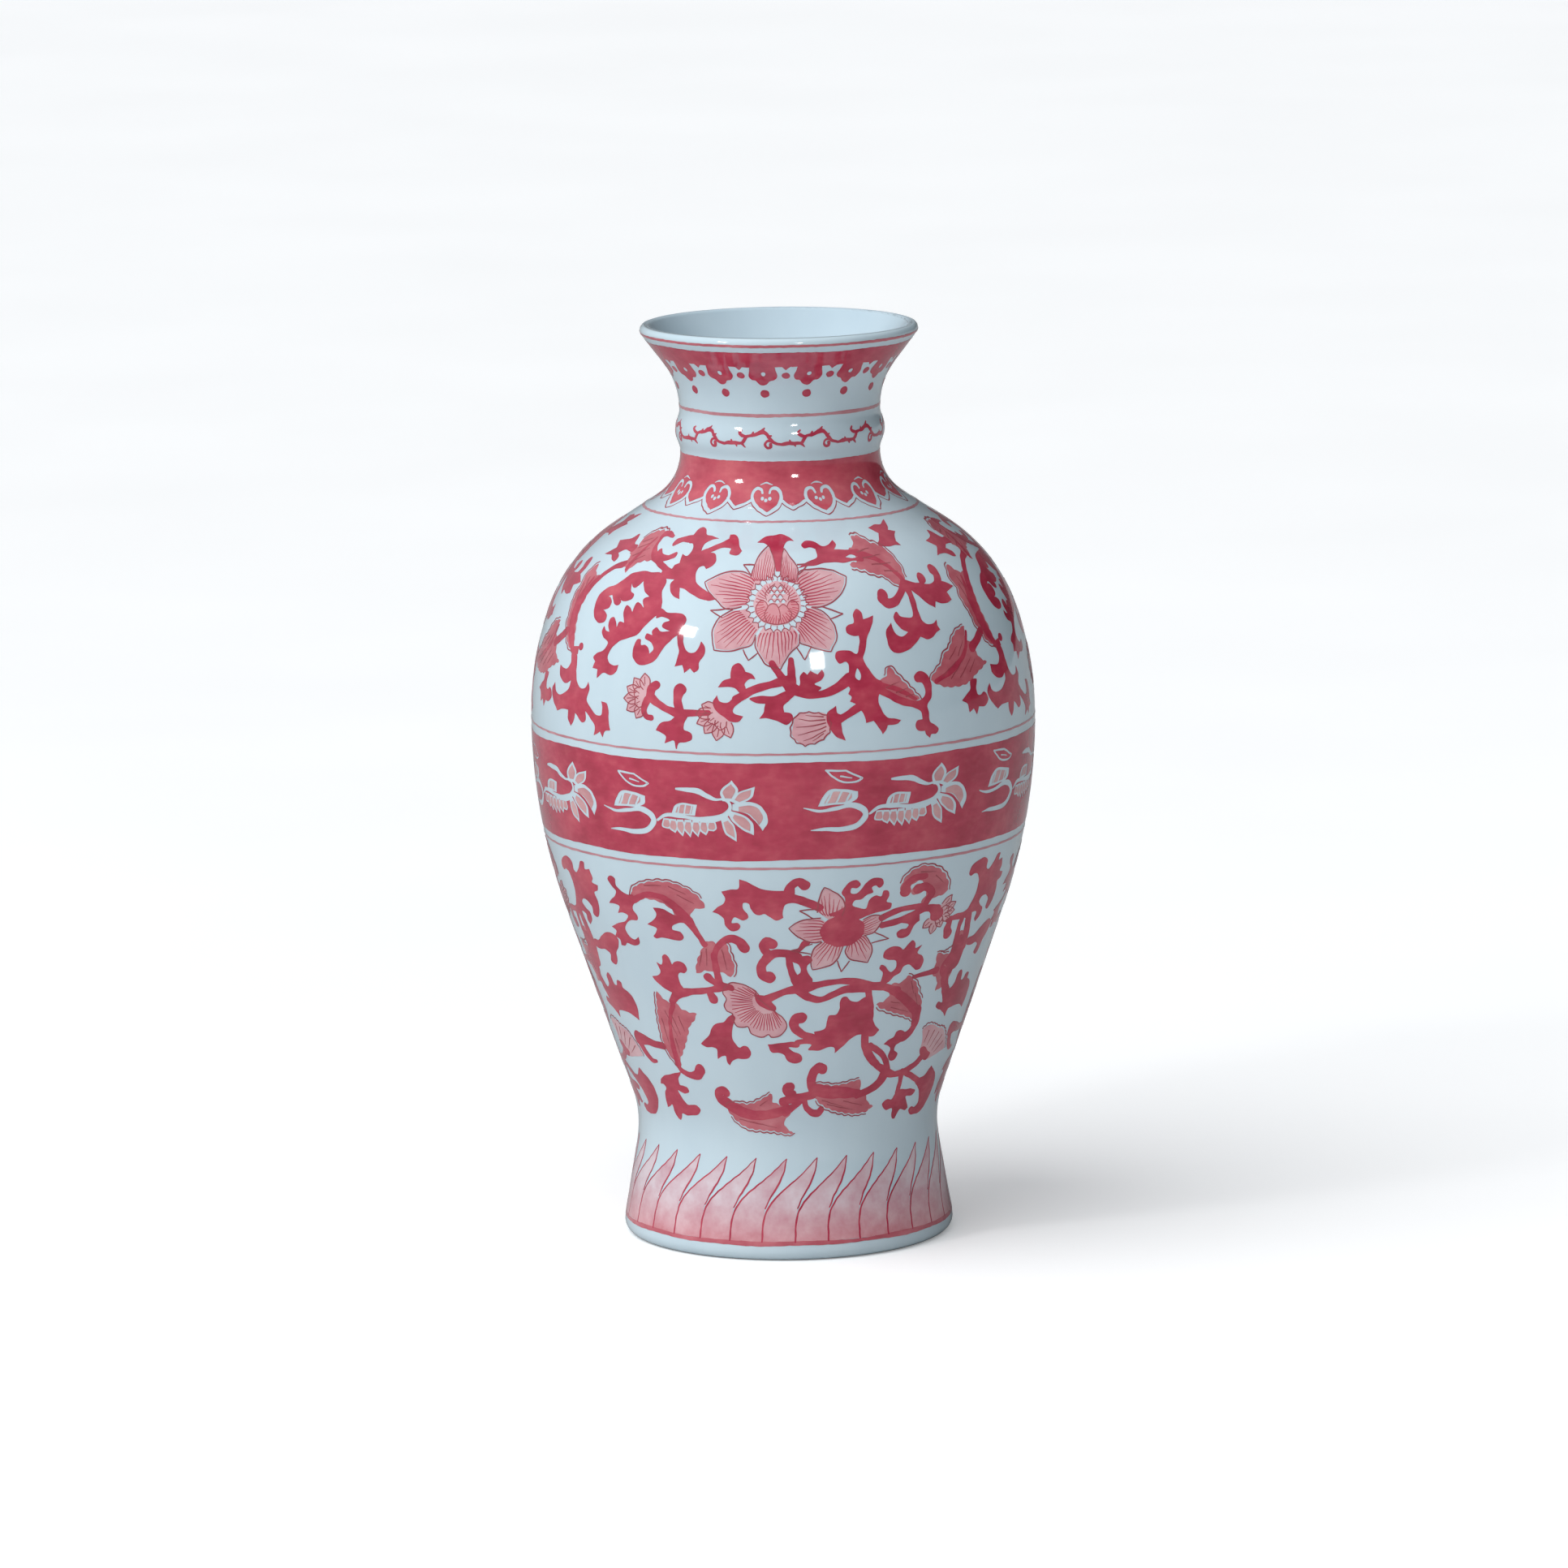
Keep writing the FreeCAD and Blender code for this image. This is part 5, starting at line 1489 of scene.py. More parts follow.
def middle_branch():
    """The branch that crosses under the second flower, its slit apart, and the trunk down from it."""
    return (
        LOWER.line([(4, 125.5), (7.5, 126.6), (12, 127.8), (17, 128), (21, 126.6), (24, 124.8), (28, 124)],
                   [6, 3.4, 2.6, 2.8, 3.6, 4, 4])
        + LOWER.line([(3.5, 125), (6, 121.5), (9.5, 119.9), (13, 121.8), (16.5, 124), (23, 124)],
                     [5, 3.4, 2.8, 3.2, 4, 4])
        + LOWER.line([(28, 124), (31, 122), (33, 121)], [3.4, 3.4, 4])
        + LOWER.line([(23.6, 123), (24.2, 119), (25, 114), (25, 107)], [3.2, 3.2, 4, 5])
    )


def big_palm_leaf():
    """The big palm-shaped leaf in the middle with the long hooked leaf at its left."""
    leaf = [
        (15.4, 117.8), (16, 120.3), (17.3, 120.6), (18.4, 118.6), (20.5, 117.8), (22.8, 119.6),
        (24.4, 119.8), (25.3, 116), (26, 111), (27.2, 106.6), (29.4, 103, TIP), (27.6, 100.6),
        (25.5, 100.7), (24, 101.6), (21.8, 101.8), (19.5, 99.6), (17.6, 96.8), (15.2, 94, TIP),
        (14.8, 96.6), (12.8, 97), (10, 95.6), (8, 95.8), (6.6, 96.3), (7.6, 98.5), (5, 99), (2, 98.6),
        (2.6, 100.6), (5.5, 101.6), (8.4, 102.4), (8.2, 104.6, TIP), (11.4, 106), (12, 109.5), (12.4, 112),
        (14.8, 112.6), (15.4, 115),
    ]
    hooked = [
        (-6, 99, TIP), (-2, 99.6), (2, 100.2), (4, 99), (3.6, 97.6), (0.5, 97.4), (2, 95.5), (4.5, 93.5),
        (4.6, 91), (2.5, 89.8), (0.2, 91), (-1, 93.8), (-2.6, 95), (-4.8, 95.2),
    ]
    hook = [(8.5, 101.8), (4.5, 103.8), (2.2, 107.5), (2.6, 111), (4.4, 111.6)]
    return LOWER.shape(leaf) + LOWER.shape(hooked) + LOWER.line(hook, [3, 3.4, 4, 4.6, 5])


def upright_palm_leaf():
    """The palm-shaped leaf right of the second flower."""
    return LOWER.shape([
        (29.4, 125.5), (31, 128), (32.8, 129.4), (33.6, 132), (35.2, 132.8), (37, 131), (38, 129.6),
        (39.6, 130), (40.3, 133), (39.4, 136), (37.4, 138), (38.5, 141.2, TIP), (36.4, 140.4), (36, 142.6),
        (35, 144.2), (33.6, 142.5), (32.6, 140.4), (31.2, 141.8), (28.6, 142.4), (26.8, 140.6), (26.6, 138),
        (28, 136.4), (30.6, 135.6), (31.2, 132.6), (29.9, 130.2), (28.6, 131.8), (27.8, 133.4),
        (26.4, 134.2), (26, 132.6), (27.2, 130.6), (27.2, 127), (26.4, 124.2),
    ])


def second_arched_leaf_fill():
    """The arched leaf at the upper right, with its two inner hooks."""
    return frilled_leaf(LOWER, [
        (29, 168.4), (29.2, 171.4), (30.2, 174.5), (32, 177), (34.5, 178.2), (37.5, 177.4), (40, 175.2),
        (41.8, 172.2), (43, 168.8), (43.1, 165, TIP), (41, 163.8), (38.6, 163.2), (37.6, 161.6),
        (36.2, 160.4), (35.6, 161.6), (36.8, 165), (36.5, 167.2), (34.5, 166.6), (33, 165.8), (32.2, 167.4),
        (33, 169.8), (35.2, 170.6), (35, 172.2), (33, 172), (31.2, 170), (31.6, 167.4), (30.8, 166.2),
        (29.6, 166.8),
    ], (1, 9))


def upper_right_stems():
    """The stems and small leaf under the second arched leaf, and its deeper red hooks."""
    small_leaf = [
        (32.5, 155.8), (35, 157.2), (35.9, 153.2, TIP), (34.6, 151.6), (34, 149.8), (33.4, 147),
        (31.8, 145.9), (30, 146.6), (29.4, 148.6), (30.6, 150.2), (32.2, 150.4), (32.6, 152), (30, 153.6),
    ]
    bud_core = [(38, 157.6), (41, 158.6), (43, 157), (43.4, 154), (41.6, 152), (39.6, 152.6), (39, 155.6)]
    return (
        LOWER.shape(small_leaf)
        + LOWER.shape(bud_core)
        + LOWER.line([(24.6, 156.6), (28, 159), (32, 160), (36.4, 159.8)], [3, 2.8, 2.4, 3])
        + LOWER.line([(25, 153.2), (29, 154.2), (33, 156.3), (37, 158.6), (41, 157.6)], [3, 3, 3, 3.2, 4])
        + LOWER.line([(30.2, 167.6), (30.4, 170.6), (32.2, 173.4), (35.4, 173.8)], [4.6, 3.6, 3, 3])
        + LOWER.line([(33.8, 168.2), (36, 168.8), (38.2, 165.6), (37, 161.5)], [4.4, 3.6, 3.4, 3])
        + LOWER.line([(45.5, 151), (48.5, 151.8), (51.5, 151.8), (53.5, 152.8)], [1.8, 2.8, 3, 3.4])
        + LOWER.line([(46.8, 151.5), (46.4, 147), (47, 144.6)], [2.8, 3.6, 5])
    )


def scale_bud():
    """The small many-petalled bud between the arched leaf and the right cluster."""
    return fan(LOWER, (41.4, 154.6), [
        (45.4, 162.8), (47.4, 159.2), (47.4, 155.4), (46.4, 151.8), (40.6, 145.8), (37.4, 149.4),
        (43.6, 148.4), (45.2, 157.4), (43, 150.8),
    ], spread=3.6)


def right_cluster():
    """The spiky cluster at the upper right and the thick stem under it."""
    cluster = [
        (50.4, 170.8), (50.8, 173.8), (52.6, 176), (55.6, 177), (57.4, 175.4), (57.6, 171.6), (58.6, 170.8),
        (60.4, 173), (62.2, 176.8), (63.6, 176.6), (63.4, 173.6), (65.4, 174, TIP), (66, 170),
        (65.4, 168.2), (67.6, 167, TIP), (67.2, 164.8), (65.4, 163.4), (66, 159), (65, 153.4),
        (63.6, 151.4), (62.2, 152.4), (62.4, 156), (60.6, 158.6), (58.6, 158.6), (57.6, 156.6),
        (58.8, 154.4), (60.4, 152.8), (60.3, 149.6), (58.4, 146.8, TIP), (57.6, 148.6), (57.8, 151.4),
        (56.4, 152.2), (54.8, 151.6), (54.2, 150), (52.2, 150.6), (52.4, 152.8), (53.4, 155.6), (54.6, 159),
        (55.2, 163), (55, 167), (54, 170), (52.4, 170.6), (51.4, 169.8),
    ]
    return (
        LOWER.shape(cluster)
        + LOWER.line([(54.2, 152), (55, 146), (55.6, 141), (55.2, 135), (53.8, 130)], [4, 4, 4.4, 5, 8])
        + LOWER.line([(51.7, 151.4), (51.2, 146), (51.6, 141), (52.4, 136)], [2.8, 2.6, 3.4, 6])
        + LOWER.line([(53.4, 141), (53.4, 135), (51, 128)], [3, 8, 10])
        + LOWER.line([(38, 126.5), (42, 127), (46.5, 127.6)], [1.8, 2.4, 3.2])
        + LOWER.line([(51, 123), (52.6, 118.4), (55, 114)], [5, 4.4, 5])
    )


def right_drape_fill():
    """The drape leaf under the right cluster."""
    return frilled_leaf(LOWER, [
        (45.2, 135.8, TIP), (47.5, 134.6), (50.2, 134.2), (51.2, 137), (51.2, 142), (53, 144), (56, 142),
        (57, 138), (56.4, 133), (54.8, 129), (53.6, 125.6), (52.8, 121.4), (50.2, 118.8),
        (48.4, 117.8, TIP), (48.4, 121), (47.4, 124), (45.4, 126.4), (45.6, 130.4),
    ], (0, 2))


def right_spiky_leaves():
    """The spiky leaf and the branch that run off at the right."""
    spiky = [
        (51.4, 119.6), (53.6, 116.8), (56.2, 117.4), (57.4, 119.2), (57.6, 122.8), (59, 124.6),
        (60.2, 123.2), (60.8, 119.6), (62.2, 119.4), (63.2, 122), (65, 121.6), (65.2, 119.2), (67.6, 117.4),
        (69, 115), (69.6, 110), (68.6, 104.6, TIP), (66.6, 106.2), (64, 107.2), (60, 107.2), (58, 106.6),
        (57.4, 103.4, TIP), (55.6, 105.6), (53.8, 107.2), (52.2, 108), (50.6, 109.8), (51.4, 111.6),
        (53.4, 110.8), (52.8, 113.4), (51.6, 116),
    ]
    branch = [
        (57.4, 139.6), (60, 140), (62.4, 142.4), (65, 144.6), (68, 145.4), (70.2, 143), (69.4, 139.4),
        (67.6, 136), (66.6, 131.4), (65.4, 130), (63.6, 131.2), (64.4, 134.6), (62.6, 136.2), (60, 135.8),
        (57.4, 136.6),
    ]
    return LOWER.shape(spiky) + LOWER.shape(branch)


def low_right_stems():
    """The crossing stems at the lower right with their lobed leaves."""
    lobed = [
        (36.4, 66.6), (38, 68.6), (40.6, 68.4), (41.4, 70.4), (43, 72.2), (46.4, 71.8), (50, 71.4),
        (52.4, 69.8), (51, 68), (47.6, 68.2), (48.8, 65.6), (50.4, 62.4, TIP), (49, 61.4), (46, 62.6),
        (44.8, 60.6), (44, 58.6, TIP), (42.6, 58.8), (42, 61), (41.6, 63.6), (38.6, 63.6),
    ]
    curled = [
        (52.6, 75.4), (55.4, 76.2), (57.6, 79), (58.6, 80.2, TIP), (60.6, 78.2), (63, 76), (65, 72),
        (65.2, 67), (63.4, 62.4), (60.4, 59), (56, 58.2), (52.6, 58.8), (51.2, 61), (52.6, 62.4),
        (54.8, 61.8), (56.6, 63.6), (55.4, 68), (53.4, 72),
    ]
    base = [(48.4, 90.4), (50.6, 91), (53, 88.4), (55, 86.8), (53.6, 84.2), (50.6, 85.4)]
    return (
        LOWER.shape(lobed)
        + LOWER.shape(curled)
        + LOWER.shape(base)
        + LOWER.line([(24.6, 101.5), (25.2, 96.5), (27.4, 91), (31, 86), (35, 82.4)], [4, 4, 4.2, 3.4, 4])
        + LOWER.line([(27, 96), (31.6, 91.6), (34, 87.6), (35.4, 83)], [3, 3, 3, 3.6])
        + LOWER.line([(35, 82), (39, 80.4), (44, 81.4), (48, 83.4), (50.4, 86)], [4.6, 2.8, 3, 3.2, 4])
        + LOWER.line([(42.2, 80.6), (42.5, 76), (42.4, 71.6)], [4, 2.8, 3.6])
        + LOWER.line([(44, 80.2), (48, 77.6), (52, 74.6), (55, 72)], [3, 2.8, 3, 4.4])
        + LOWER.line([(34.6, 81.5), (33, 77.6), (29.5, 74.6), (25, 72.8)], [6, 4.6, 3.6, 3.6])
    )


def right_hatched_leaf_fill():
    """The drooping hatched leaf in the middle right."""
    return frilled_leaf(LOWER, [
        (31, 124), (34.4, 124.6), (36, 127.6, TIP), (38, 125), (39.8, 122), (41.6, 117), (43, 115, TIP),
        (43.4, 111), (42.8, 107.6), (41.4, 106.4), (38.8, 108), (36, 109.6), (33, 111), (30.6, 112.6),
        (28.8, 113.6), (27, 115.4, TIP), (29.4, 116.6), (30.8, 118.6), (30.6, 121.6),
    ], (2, 6), (9, 15))


def right_hatched_leaf_stems():
    """The red rib of the drooping leaf, and the curl and small leaf it ends in."""
    curl = [
        (35.2, 98.6), (36, 101), (37.6, 101.4), (39.6, 99.8), (38.4, 95.6), (36.8, 94.6), (36.6, 92.2),
        (38.3, 90.4), (37.6, 87.8), (35.6, 87.6), (34.6, 89.8), (34.8, 93.4), (33.4, 95), (31.9, 96, TIP),
        (33.4, 97.6),
    ]
    return (
        LOWER.shape(curl)
        + LOWER.line([(30, 122.6), (34, 119), (38.5, 114), (42, 109), (42.6, 104)], [3, 4, 4.4, 4.8, 4.2])
        + LOWER.line([(42.6, 110), (43, 104), (41.4, 99.6), (38.8, 97.8), (37, 98.4)],
                     [4.6, 4, 3.6, 4.2, 4.6])
    )


def pale_leaf_fill():
    """The pale blossom at the lower right."""
    return LOWER.shape([
        (47.2, 99.6), (49, 101), (52, 100.8), (55.2, 98.8), (58.8, 97.4), (61.4, 94), (63.4, 90),
        (64.2, 87), (62, 86.2), (58, 85.2), (54, 84.4), (51.6, 86.4), (48.6, 89.4), (48.6, 93.6),
        (48, 96.6),
    ])


def low_leaf_fills():
    """The two long leaves along the bottom."""
    middle = [
        (9.4, 79), (12, 79), (16, 78), (20, 78.6), (25.4, 80, TIP), (25.6, 76.6), (26, 73.6), (28, 72.4),
        (29.6, 68.6), (32, 66.4, TIP), (29.6, 64.6), (26, 64.2), (21, 65), (16, 67), (12.6, 69.4),
        (10, 72.6), (8.8, 76),
    ]
    left = [
        (-22, 68), (-18, 70), (-14, 69.6), (-10, 71.6), (-7, 74), (-5.4, 75, TIP), (-5.6, 71.6), (-3.6, 70),
        (-1, 69.4), (1.6, 68), (0, 64.6), (-1.6, 62), (-1, 59), (1.6, 56.4, TIP), (-2, 57), (-6, 57.8),
        (-10, 58.2), (-14, 58.6), (-18, 61), (-20.6, 64.4),
    ]
    return joined([
        frilled_leaf(LOWER, middle, (0, 4), (10, 15)),
        frilled_leaf(LOWER, left, (0, 5), (13, 19)),
    ])


def low_leaf_stems():
    """The hooks, ribs and small plant between the two long leaves."""
    return (
        LOWER.line([(9, 77), (14, 75.4), (20, 74.6), (26, 73.4)], [6, 6, 5.6, 3.4])
        + LOWER.line([(9.2, 75), (8, 80), (8.6, 85), (10.4, 87.4), (11.6, 86.6)], [4, 4.6, 4.8, 4.6, 5])
        + LOWER.line([(2, 75.5), (-0.2, 76.4), (-0.4, 78.4), (1.2, 78.6)], [3, 4.6, 4, 4])
        + LOWER.line([(-1.8, 71.5), (1.5, 72.8), (5, 73.6), (8.8, 74.4)], [4, 4.4, 3.8, 3.8])
        + LOWER.line([(5.8, 73), (6.4, 69), (8.6, 66), (11, 65.6), (12, 67)], [2.8, 2.8, 3, 3.6, 3.6])
        + LOWER.line([(5.5, 73), (2.5, 69.5), (-1, 66.5)], [3.4, 3.2, 4.4])
        + LOWER.line([(-23, 71), (-18, 67), (-12, 64.8), (-5, 65.8), (0, 68)], [5.4, 5.4, 4.6, 4.4, 4.4])
        + LOWER.line([(-21, 68.6), (-24.4, 72), (-24.6, 74.8), (-22.6, 75.9), (-21.6, 75)],
                     [4.4, 4.2, 4.4, 4.2, 4])
    )


SECOND_FLOWER_MIDDLE = (14.4, 151.9)


def second_flower_top():
    """The curling red crest on the second flower."""
    return LOWER.shape([
        (10.6, 160), (12.8, 161.5), (14.4, 163.2), (14.4, 167), (13.6, 169.6), (14.2, 172), (15.4, 174.4),
        (17.2, 175), (18.2, 173), (17.2, 171.4), (16, 171.6), (15.8, 169.4), (17.2, 168.8), (18.4, 170.6),
        (19.6, 173.6), (21.2, 175.4), (23.4, 175), (24.1, 172.4), (23, 170.6), (22, 172), (21, 171.2),
        (21.6, 169), (20, 168), (18.6, 166.2), (17, 165.8), (16.4, 163.8), (18, 162.2), (20, 161.6),
        (20.4, 163.6), (20.6, 165.4), (22.4, 167.4), (23.8, 166.8), (24.2, 169.2), (25.4, 169),
        (25.8, 166.6), (25.4, 164), (26.8, 163), (26.6, 160.6), (25, 160), (22.6, 159.2), (20.4, 158.2),
        (18.6, 157),
    ])


def second_flower_petals():
    """The five petals of the second flower."""
    return petals(LOWER, SECOND_FLOWER_MIDDLE, [
        ([(7.8, 161), (8, 166), (8.6, 170)], (9.3, 172.6), [(14, 159), (14.6, 164), (13, 168.5), (11, 171)]),
        ([(8.7, 158.4), (6, 158.2), (3, 156.8)], (0.7, 154), [(9.2, 147.4), (7, 147), (4, 149), (2, 151.6)]),
        ([(9.3, 147.2), (7.6, 145), (6.6, 141), (6.6, 137)], (7, 134.3),
         [(14.8, 144.6), (14, 140), (12.4, 136.6), (10, 135)]),
        ([(16, 145), (15.6, 142), (17, 138.6), (19.4, 137.2)], (22.2, 136.1),
         [(20.6, 149), (22, 146), (23, 142), (22.8, 139)]),
        ([(19.6, 156.4), (21.6, 158), (23.6, 158)], (25, 156.9), [(20.2, 148.8), (22.6, 150), (24.2, 153)]),
    ], hairs=7)


def lower_fine_details():
    """The second flower's sepals, the pale blossom's edge and the hatching of the washed leaves."""
    margins = [
        [(45.1, 136.4), (47.5, 136), (49.5, 136.8), (51.2, 138.4)],
        [(47, 100), (49, 101.8), (52, 101.4), (55.4, 99.4), (59, 98), (61.8, 94.4), (64, 90), (64.8, 86.8)],
    ]
    hairs = [
        [(-38.6, 112), (-36, 100)], [(-36.4, 110), (-34.6, 101)], [(-34, 110), (-32.8, 103)],
        [(-40.6, 108), (-40.2, 96)], [(-37, 99), (-36.6, 92)], [(32, 113.4), (38.6, 110)],
        [(31.6, 116), (35, 114.6)], [(37.4, 124.6), (39.6, 118)], [(40, 118.6), (41.8, 112.6)],
        [(-36, 171), (-31, 171.6)], [(-29, 171.6), (-24.6, 168.6)], [(-27, 168), (-22.6, 164.4)],
        [(12, 71.6), (20, 68)], [(14, 69.4), (24, 66)], [(20, 70.6), (27.6, 67.6)],
        [(-18, 62.6), (-9, 60.6)], [(-14, 61.6), (-4, 59)], [(-10, 69.4), (-7, 72)],
        [(50.6, 98.8), (49.6, 93)], [(53.6, 98), (51.6, 91.4)], [(56.6, 96.4), (53.6, 89.8)],
        [(59.4, 94.4), (55.4, 88)], [(61.4, 91), (57, 86.8)], [(34, 176), (38.6, 175)],
        [(38.6, 173.6), (41.4, 169.6)], [(-22.4, 142), (-23.8, 135)], [(-21, 143.6), (-21.6, 135.4)],
        [(-16.8, 143.6), (-16, 134)],
    ]
    drawn = [frill(LOWER, margin, 2 * len(margin) - 3) for margin in margins]
    drawn += [
        sepal(LOWER, (22.8, 150.4), (27.4, 146.6), (22.6, 145.2)),
        sepal(LOWER, (13.6, 138), (15, 132.6), (17, 137.6)),
        sepal(LOWER, (6.8, 146.4), (1.4, 143.4), (6.4, 141.8)),
        sepal(LOWER, (6.8, 158.4), (3.4, 162.2), (7.6, 162.6)),
    ]
    drawn += [LOWER.line(hair, HAIR_WIDTH) for hair in hairs]
    return all_shapes(drawn)


def lower_red_shapes():
    """All solid red of one repeat of the lower register."""
    heart = [oval(LOWER, SECOND_FLOWER_MIDDLE, 5.6, 7.2, scallops=9, depth=0.05)]
    parts = [
        arched_leaf_sprig(), drape_leaf_stems(), left_hanging_leaf_sprays(), blossom_branch(),
        left_acanthus(), forked_stem(), middle_branch(), big_palm_leaf(), upright_palm_leaf(),
        upper_right_stems(), right_cluster(), right_spiky_leaves(), low_right_stems(),
        right_hatched_leaf_stems(), low_leaf_stems(), second_flower_top(), heart,
    ]
    return all_shapes(parts)


def paint_lower_scrolls():
    """All of the lower register, which comes three times round the vase."""
    petal_fills, petal_edges, petal_hatching = second_flower_petals()
    leaf_fills, leaf_lines = joined([
        arched_leaf_fill(), drape_leaf_fill(), left_hanging_leaf_fill(), second_arched_leaf_fill(),
        right_drape_fill(), right_hatched_leaf_fill(), low_leaf_fills(),
    ])
    bud_fills, bud_lines = scale_bud()
    pinks = LOWER.repeated(petal_fills + blossom_fill() + bud_fills + pale_leaf_fill())
    lines = LOWER.repeated(petal_edges + blossom_outline() + bud_lines + leaf_lines + lower_fine_details())
    hatching = LOWER.repeated(petal_hatching + blossom_rays())
    enamel("lower_scroll_red", LOWER, LOWER.repeated(lower_red_shapes()), RED, RED_LIFT)
    enamel("lower_leaf_wash", LOWER, LOWER.repeated(leaf_fills), WASH, PINK_LIFT)
    enamel("lower_petals_pink", LOWER, pinks, PINK, PINK_LIFT)
    enamel("lower_petal_hatching", LOWER, hatching, RED, RED_LIFT)
    enamel("lower_fine_lines", LOWER, lines, DARK, DARK_LIFT)


paint_lower_scrolls()


# ---------------------------------------------------------------- mouth border

MOUTH = Zone(low=374.0, high=401.5, girth_radius=58.0, repeats=16)


def mouth_heads():
    """One hanging cloud head, the cusp beside it, the dot under the cusp and the free dot below."""
    head = [
        (-13, 394), (-14.6, 390.6), (-15.3, 388.4), (-14.2, 386.8), (-12.2, 386.3), (-10.8, 384.9),
        (-8.6, 384), (-6.6, 384.5), (-5, 386), (-2.8, 386.4), (-1.1, 388.2), (-1.7, 391), (-3, 394),
    ]
    cusp = [(1, 393.4), (3.25, 391.2, TIP), (5.5, 393.4), (3.25, 394.2)]
    return (
        MOUTH.shape(head) + MOUTH.shape(cusp) + MOUTH.dot(3.25, 388.6, 4.2, 2.9)
        + MOUTH.dot(-7.8, 380.2, 4.9, 3.6)
    )


def paint_mouth():
    """The border that hangs under the lip."""
    border = ring(MOUTH, 392.7, 399.5, waver=0.12) + MOUTH.repeated(mouth_heads())
    dots = MOUTH.repeated(MOUTH.dot(-7.8, 389.4, 2.4, 1.9))
    enamel("mouth_border", MOUTH, border, RED, RED_LIFT, dots, "painted_mouth_band")


paint_mouth()


# ---------------------------------------------------------------- vine on the neck bulge

VINE = Zone(low=353.0, high=367.5, girth_radius=45.0, repeats=11)


def vine_shapes():
    """One wave of the thorny vine: a low bar, a high bar, the curl between them and the thorns."""
    wave = [(-32, 357.9), (-28, 358.4), (-24, 358.3), (-21, 358.5), (-19.6, 360), (-18.4, 361.3), (-14, 362),
            (-10.4, 363.2), (-8, 362.9), (-5.6, 360.6), (-3, 358.6), (0.73, 357.9)]
    curl = [(-4.6, 359.5), (-7, 359.4), (-8.2, 357.8), (-7, 356.4), (-5.2, 356.8), (-5.2, 358)]
    leaf = [(-18.6, 361.2), (-21, 361.6), (-22.8, 362.8), (-21.6, 363.8)]
    thorns = [
        [(-21.4, 358.3), (-19.2, 356.5)], [(-10.6, 363.2), (-8.4, 365.1)], [(-15.4, 361.8), (-14.6, 363.4)],
        [(-27, 358.3), (-27.6, 360)], [(-6.4, 361.2), (-4.4, 361.9)], [(-25, 358.3), (-24.2, 356.8)],
    ]
    shapes = VINE.line(wave, [1.2, 1.8, 1.5, 1.3, 1.5, 1.2, 1.5, 1.9, 1.5, 1.4, 1.3, 1.2])
    shapes += VINE.line(curl, [1.2, 1, 1, 1.1, 1.3, 1.6]) + VINE.line(leaf, [1, 1.5, 1.3, 0.8])
    for thorn in thorns:
        shapes += VINE.line(thorn, [1.5, 0.4])
    return shapes


enamel("neck_vine", VINE, VINE.repeated(vine_shapes()), RED, RED_LIFT)


# ---------------------------------------------------------------- collar band

COLLAR = Zone(low=326.9, high=351.4, girth_radius=50.0, repeats=13)
HEART_LEFT = [(-6.4, 328.9), (-9.4, 330.2), (-12.4, 332), (-14.4, 334.2), (-14.8, 336.2), (-13.8, 338),
              (-12, 338.8), (-10.2, 338.2), (-9.5, 336.9)]
HEART_RIGHT = [(-6.4, 328.9), (-3.4, 330.3), (-1, 332.2), (0.2, 334.5), (-0.2, 336.9), (-1.8, 338.6),
               (-3.8, 338.9), (-5.4, 338.1), (-5.8, 336.9)]
VALLEY_LEFT = [(-27.9, 334.4), (-25, 332.4), (-22.2, 331)]
VALLEY_RIGHT = [(-22.2, 331), (-19, 332), (-15, 333.8)]
BEAD = 1.5             # mm
OUTLINE_EXTRA = 0.75   # mm by which the fine outline is wider than the bare stroke it surrounds


def collar_edge():
    """The band's lower edge between two hearts, and one heart's red body."""
    (first, *left), (tip, *right) = VALLEY_LEFT, VALLEY_RIGHT
    between_hearts = [(-27.9, 337, TIP), (*first, TIP), *left[:-1], (*tip, TIP), *right[:-1],
                      (*right[-1], TIP), (-15, 337, TIP)]
    heart = [(*HEART_LEFT[0], TIP), *HEART_LEFT[1:4], (-14.8, 337), (0.2, 337), *HEART_RIGHT[3:0:-1]]
    return COLLAR.shape(between_hearts) + COLLAR.shape(heart)


def collar_bands(wider):
    """The strokes along the hearts' lobes and along the valleys between hearts."""
    shapes = []
    for lobe in (HEART_LEFT, HEART_RIGHT):
        shapes += COLLAR.line(lobe, [width + wider for width in (1.3, 1.4, 1.5, 1.5, 1.4, 1.1)])
    for side in (VALLEY_LEFT, VALLEY_RIGHT):
        shapes += COLLAR.line(side, [1.2 + wider] * 2)
    return shapes


def collar_hearts():
    """The glaze left bare: the hearts' hooked lobes, the valleys, an arc over each heart and its beads."""
    return (
        collar_bands(0)
        + COLLAR.line([(-11, 340.2), (-7.6, 341.1), (-4.2, 340.2)], [0.3, 0.8, 0.3])
        + COLLAR.dot(-9.4, 334.6, BEAD) + COLLAR.dot(-7.5, 333.9, BEAD) + COLLAR.dot(-5.6, 334.6, BEAD)
    )


def paint_collar():
    """The red band round the root of the neck with thirteen hearts along its lower edge, its red lightened
    as painted light.
    """
    red = ring(COLLAR, 336.4, 350.2, waver=0.08) + COLLAR.repeated(collar_edge())
    # the collar band takes the lighter copy of the red enamel, a painted light
    enamel("collar_band_hearts", COLLAR, red, PAINTED_LIT_RED, RED_LIFT,
           COLLAR.repeated(collar_hearts()), "painted_collar_band")
    outlines = COLLAR.repeated(collar_bands(OUTLINE_EXTRA))
    enamel("collar_fine_lines", COLLAR, outlines, DARK, PINK_LIFT,
           COLLAR.repeated(collar_bands(0)))


paint_collar()


# ---------------------------------------------------------------- belly band

